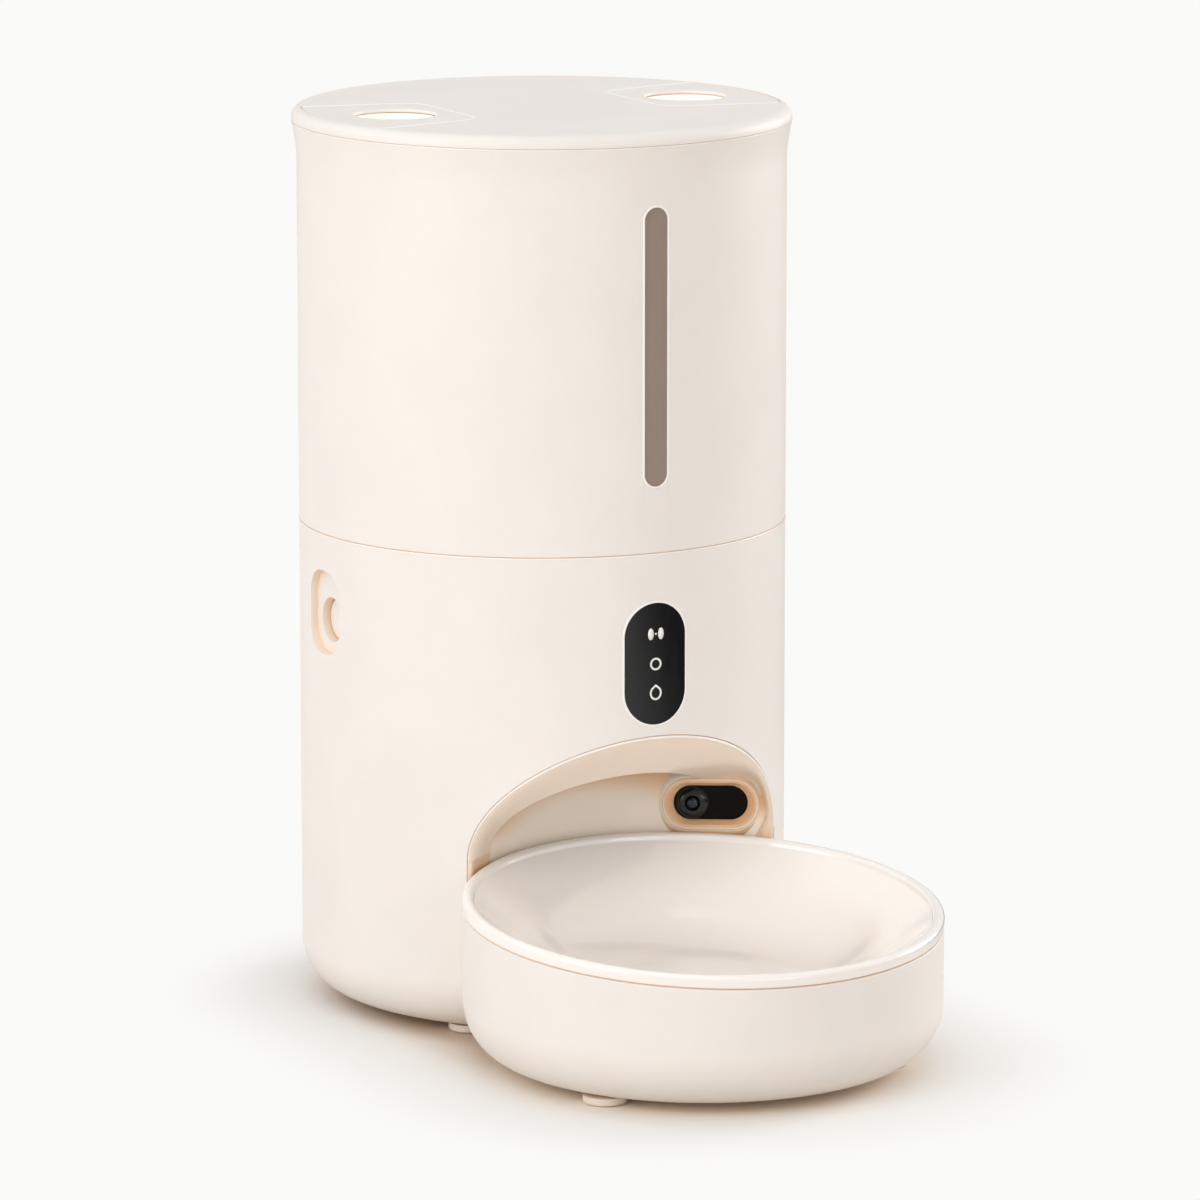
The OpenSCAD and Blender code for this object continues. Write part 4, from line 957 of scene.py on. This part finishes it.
def cover_path():
    """The inner outline of a latch cover on the right, from the lid's edge round to the edge again."""
    r = COVER_CORNER + COVER_GAP / 2
    n = Vector((-math.sin(COVER_SLOPE), math.cos(COVER_SLOPE)))
    cx = COVER_IN + COVER_CORNER
    cy = (n.x * COVER_IN + n.y * COVER_HALF - COVER_CORNER - n.x * cx) / n.y
    along = Vector((math.cos(COVER_SLOPE), math.sin(COVER_SLOPE)))
    start = Vector((cx, cy)) + n * r
    side = []
    for i in range(SIDE_STEPS):
        p = start + along * (COVER_SIDE * (1 - i / SIDE_STEPS))
        if p.length < COVER_RIM:
            side.append((p, n))
    for i in range(CORNER_STEPS + 1):
        a = math.pi / 2 + COVER_SLOPE + (math.pi / 2 - COVER_SLOPE) * i / CORNER_STEPS
        out = Vector((math.cos(a), math.sin(a)))
        side.append((Vector((cx, cy)) + out * r, out))
    return side + [(Vector((p.x, -p.y)), Vector((o.x, -o.y))) for p, o in reversed(side)]


def make_cover_line(side, name):
    """Painted highlight: a white, glowing hairline that fills the gap round a latch cover, level with the
    lid, for the bright edges of the cover.
    """
    half = 0.75 * MM
    tall = 0.3 * MM
    rings = []
    for p, out in cover_path():
        ring = []
        for a in half_turn(LINE_STEPS):
            q = p + out * (half * math.cos(a))
            ring.append((side * q.x, TOWER_Y + q.y, LID_TOP - tall + tall * math.sin(a)))
        rings.append(ring)
    points, faces = loft(rings)
    make_piece(name, points, faces, "lid", "shell", line_white_painted_highlight)


make_hood()
make_bead()
make_lens()
make_cover_line(-1, "cover_line_left")
make_cover_line(1, "cover_line_right")
make_cup_sleeve(-1, "cup_sleeve_left", "latch_left")
make_cup_sleeve(1, "cup_sleeve_right", "latch_right")
paint_seam_shade("base_seam_shade", TOWER_R - SEAM_SHADE_IN, BASE_SEAM, at_tower, "base")
paint_seam_shade("lid_seam_shade", LID_R - SEAM_SHADE_IN, LID_SEAM, at_tower, "lid")
paint_seam_shade("bowl_seam_shade", BOWL_R - BOWL_SEAM_SHADE_IN, BOWL_SEAM, at_bowl, "bowl")
edge_bead("base_edge", TOWER_R - BASE_EDGE_IN, BASE_SEAM - EDGE_BELOW, "base")
edge_bead("hopper_edge", HOPPER_TOP_R - HOPPER_EDGE_IN, LID_SEAM - EDGE_BELOW, "hopper")
make_collar()
make_bezel_rim()
make_marks()
trim_ring("panel_trim", PANEL_W, PANEL_H, PANEL_Z, "base")
trim_ring("window_trim", WINDOW_W, WINDOW_H, WINDOW_Z, "hopper")


# Stage, light and camera

BACKDROP = linear(250, 250, 248)
FLOOR_BOUNCE = linear(220, 212, 203)
# Painted shadow on the floor under the object: warm and darker under the tower, paler under the bowl
FLOOR_UNDER_SHADE = linear(212, 192, 172)
FLOOR_BOWL_SHADE = linear(252, 241, 228)
FLOOR_NEAR = linear(242, 241, 239)
FLOOR_R = 14
FLOOR_SEGMENTS = 96
FLOOR_DROP = 0.2 * MM
# Shares of open sky between which the object's shade on the floor fades, within reach of it
SHADE_REACH = 0.05
SHADE_SKY = (0.3, 0.8)
SHADE_LEAST = 0.05
# Metres from the object over which the warm shade under it ends and the plain backdrop takes over
UNDER_ENDS = (-0.03, 0.003)
PLAIN_BEGINS = (0.0, 0.058)
PLAIN_LEAST = 0.05
# Metres to the right over which the floor goes dark to mirrors
MIRROR_ENDS = (0.06, 0.5)
MIRROR_LEAST = 0.04
# Share of the way from the tower's axis to the bowl's up to which the floor has the tower's own shade
TOWER_SHADE = 0.6
WORLD_LIGHT = (1, 0.972, 0.95)
WORLD_STRENGTH = 0.7


def away_from_object(tree, place):
    """Distance on the floor from the long round that the tower and the bowl fill.

    Also the place's x, and its y held between the axes of the bowl and the tower.
    """
    split = add(tree, "ShaderNodeSeparateXYZ")
    tree.links.new(place, split.inputs[0])
    along = add(tree, "ShaderNodeClamp")
    along.inputs["Min"].default_value = TOWER_Y - BOWL_GAP
    along.inputs["Max"].default_value = TOWER_Y
    tree.links.new(split.outputs["Y"], along.inputs["Value"])
    middle = add(tree, "ShaderNodeCombineXYZ")
    tree.links.new(along.outputs["Result"], middle.inputs["Y"])
    length = add(tree, "ShaderNodeVectorMath", operation="DISTANCE")
    tree.links.new(place, length.inputs[0])
    tree.links.new(middle.outputs["Vector"], length.inputs[1])
    less = add(tree, "ShaderNodeMath", operation="SUBTRACT")
    less.inputs[1].default_value = TOWER_R
    tree.links.new(length.outputs["Value"], less.inputs[0])
    return less.outputs[0], split.outputs["X"], along.outputs["Result"]


def floor_material():
    """Pale sweep: shadow close to the object, plain backdrop further out, dark to mirrors on the right."""
    mat, tree, shader = new_material("floor")
    path = add(tree, "ShaderNodeLightPath")
    tint = add(tree, "ShaderNodeMix", data_type="RGBA")
    tint.inputs["A"].default_value = (*FLOOR_BOUNCE, 1)
    tint.inputs["B"].default_value = (*FLOOR_NEAR, 1)
    tree.links.new(path.outputs["Is Camera Ray"], tint.inputs["Factor"])
    shader.inputs["Roughness"].default_value = 0.9
    shader.inputs["Specular IOR Level"].default_value = 0.0
    coords = add(tree, "ShaderNodeTexCoord")
    place = coords.outputs["Object"]
    away, across, along = away_from_object(tree, place)
    clear = smooth_step(tree, open_sky(tree, SHADE_REACH), *SHADE_SKY, SHADE_LEAST, 1)
    # Painted shadow colour under the tower and the bowl, kept where the floor sees little sky
    below = add(tree, "ShaderNodeMix", data_type="RGBA")
    below.inputs["A"].default_value = (*FLOOR_BOWL_SHADE, 1)
    below.inputs["B"].default_value = (*FLOOR_UNDER_SHADE, 1)
    tower = smooth_step(tree, along, TOWER_Y - BOWL_GAP, TOWER_Y - TOWER_SHADE * BOWL_GAP, 0, 1)
    tree.links.new(tower, below.inputs["Factor"])
    under = add(tree, "ShaderNodeMix", data_type="RGBA")
    tree.links.new(below.outputs["Result"], under.inputs["A"])
    tree.links.new(tint.outputs["Result"], under.inputs["B"])
    outside = smooth_step(tree, away, *UNDER_ENDS, 0, 1)
    tree.links.new(two_way(tree, "MAXIMUM", outside, clear), under.inputs["Factor"])
    tree.links.new(under.outputs["Result"], shader.inputs["Base Color"])
    plain = two_way(tree, "MULTIPLY", smooth_step(tree, away, *PLAIN_BEGINS, PLAIN_LEAST, 1), clear)
    sweep = smooth_step(tree, across, *MIRROR_ENDS, 1, MIRROR_LEAST)
    bright = add(tree, "ShaderNodeMix", data_type="FLOAT")
    bright.inputs["A"].default_value = 1
    tree.links.new(path.outputs["Is Glossy Ray"], bright.inputs["Factor"])
    tree.links.new(sweep, bright.inputs["B"])
    glow = add(tree, "ShaderNodeEmission")
    glow.inputs["Color"].default_value = (*BACKDROP, 1)
    tree.links.new(bright.outputs["Result"], glow.inputs["Strength"])
    seen = two_way(tree, "MAXIMUM", path.outputs["Is Camera Ray"], path.outputs["Is Glossy Ray"])
    seen = two_way(tree, "MAXIMUM", seen, path.outputs["Is Transmission Ray"])
    mix = add(tree, "ShaderNodeMixShader")
    tree.links.new(two_way(tree, "MULTIPLY", seen, plain), mix.inputs["Fac"])
    tree.links.new(shader.outputs[0], mix.inputs[1])
    tree.links.new(glow.outputs[0], mix.inputs[2])
    tree.links.new(mix.outputs[0], tree.nodes["Material Output"].inputs["Surface"])
    return mat


def make_floor():
    mesh = bpy.data.meshes.new("floor")
    bm = bmesh.new()
    bmesh.ops.create_circle(bm, cap_ends=True, segments=FLOOR_SEGMENTS, radius=FLOOR_R)
    bm.to_mesh(mesh)
    bm.free()
    floor = bpy.data.objects.new("floor", mesh)
    floor.location.z = -FLOOR_DROP
    bpy.context.scene.collection.objects.link(floor)
    mesh.materials.append(floor_material())


def area_light(name, place, target, size, power, colour=(1, 1, 1)):
    data = bpy.data.lights.new(name, "AREA")
    data.shape = "RECTANGLE"
    data.size, data.size_y = size
    data.energy = power
    data.color = colour
    lamp = bpy.data.objects.new(name, data)
    lamp.location = place
    lamp.rotation_euler = (Vector(target) - Vector(place)).to_track_quat("-Z", "Y").to_euler()
    bpy.context.scene.collection.objects.link(lamp)


def make_world():
    world = bpy.data.worlds.new("studio")
    world.use_nodes = True
    tree = world.node_tree
    back = tree.nodes["Background"]
    back.inputs["Color"].default_value = (*WORLD_LIGHT, 1)
    back.inputs["Strength"].default_value = WORLD_STRENGTH
    seen = add(tree, "ShaderNodeBackground")
    seen.inputs["Color"].default_value = (*BACKDROP, 1)
    path = add(tree, "ShaderNodeLightPath")
    mix = add(tree, "ShaderNodeMixShader")
    tree.links.new(path.outputs["Is Camera Ray"], mix.inputs["Fac"])
    tree.links.new(back.outputs[0], mix.inputs[1])
    tree.links.new(seen.outputs[0], mix.inputs[2])
    tree.links.new(mix.outputs[0], tree.nodes["World Output"].inputs["Surface"])
    bpy.context.scene.world = world


VIEW_PLACE = (-1.2976, -2.4768, 0.7077)
VIEW_TURN = math.radians(-27.5075)
VIEW_PITCH = math.radians(10.944)
VIEW_SENSOR = 36
VIEW_LENS = 222.4
VIEW_CLIP = (0.05, 60)


def make_camera():
    """The photograph's viewpoint, fitted to the outlines of the tower and the bowl."""
    level = math.cos(VIEW_PITCH)
    forward = Vector((-math.sin(VIEW_TURN) * level, math.cos(VIEW_TURN) * level, -math.sin(VIEW_PITCH)))
    data = bpy.data.cameras.new("camera")
    data.sensor_width = VIEW_SENSOR
    data.lens = VIEW_LENS
    data.clip_start, data.clip_end = VIEW_CLIP
    camera = bpy.data.objects.new("camera", data)
    camera.location = VIEW_PLACE
    camera.rotation_euler = forward.to_track_quat("-Z", "Y").to_euler()
    bpy.context.scene.collection.objects.link(camera)
    bpy.context.scene.camera = camera


TOWER_MIDDLE = (0, 0, 0.17)

make_floor()
make_world()
area_light("key", (-1.9, -0.4, 0.72), TOWER_MIDDLE, size=(1.2, 1.2), power=13)
area_light("front_high", (-0.95, -1.6, 2.0), TOWER_MIDDLE, size=(1.3, 1.0), power=4)
area_light("front_low", (0.25, -2.0, 0.42), (0, 0, 0.12), size=(1.0, 0.5), power=3.2)
area_light("top", (-0.1, -0.3, 2.3), (0, -0.05, 0.2), size=(1.0, 1.0), power=2.8, colour=(1, 0.955, 0.94))
area_light("right", (1.98, 0.18, 0.7), TOWER_MIDDLE, size=(1.0, 1.0), power=14)
area_light("back_left", (-1.03, 1.27, 1.5), (-0.03, -0.03, 0.06), size=(0.3, 0.3), power=2)
area_light("glint", (1.75, 0.3, 0.55), (0, 0, 0.14), size=(0.1, 0.3), power=1.5)
make_camera()
bpy.context.scene.view_settings.view_transform = "Standard"
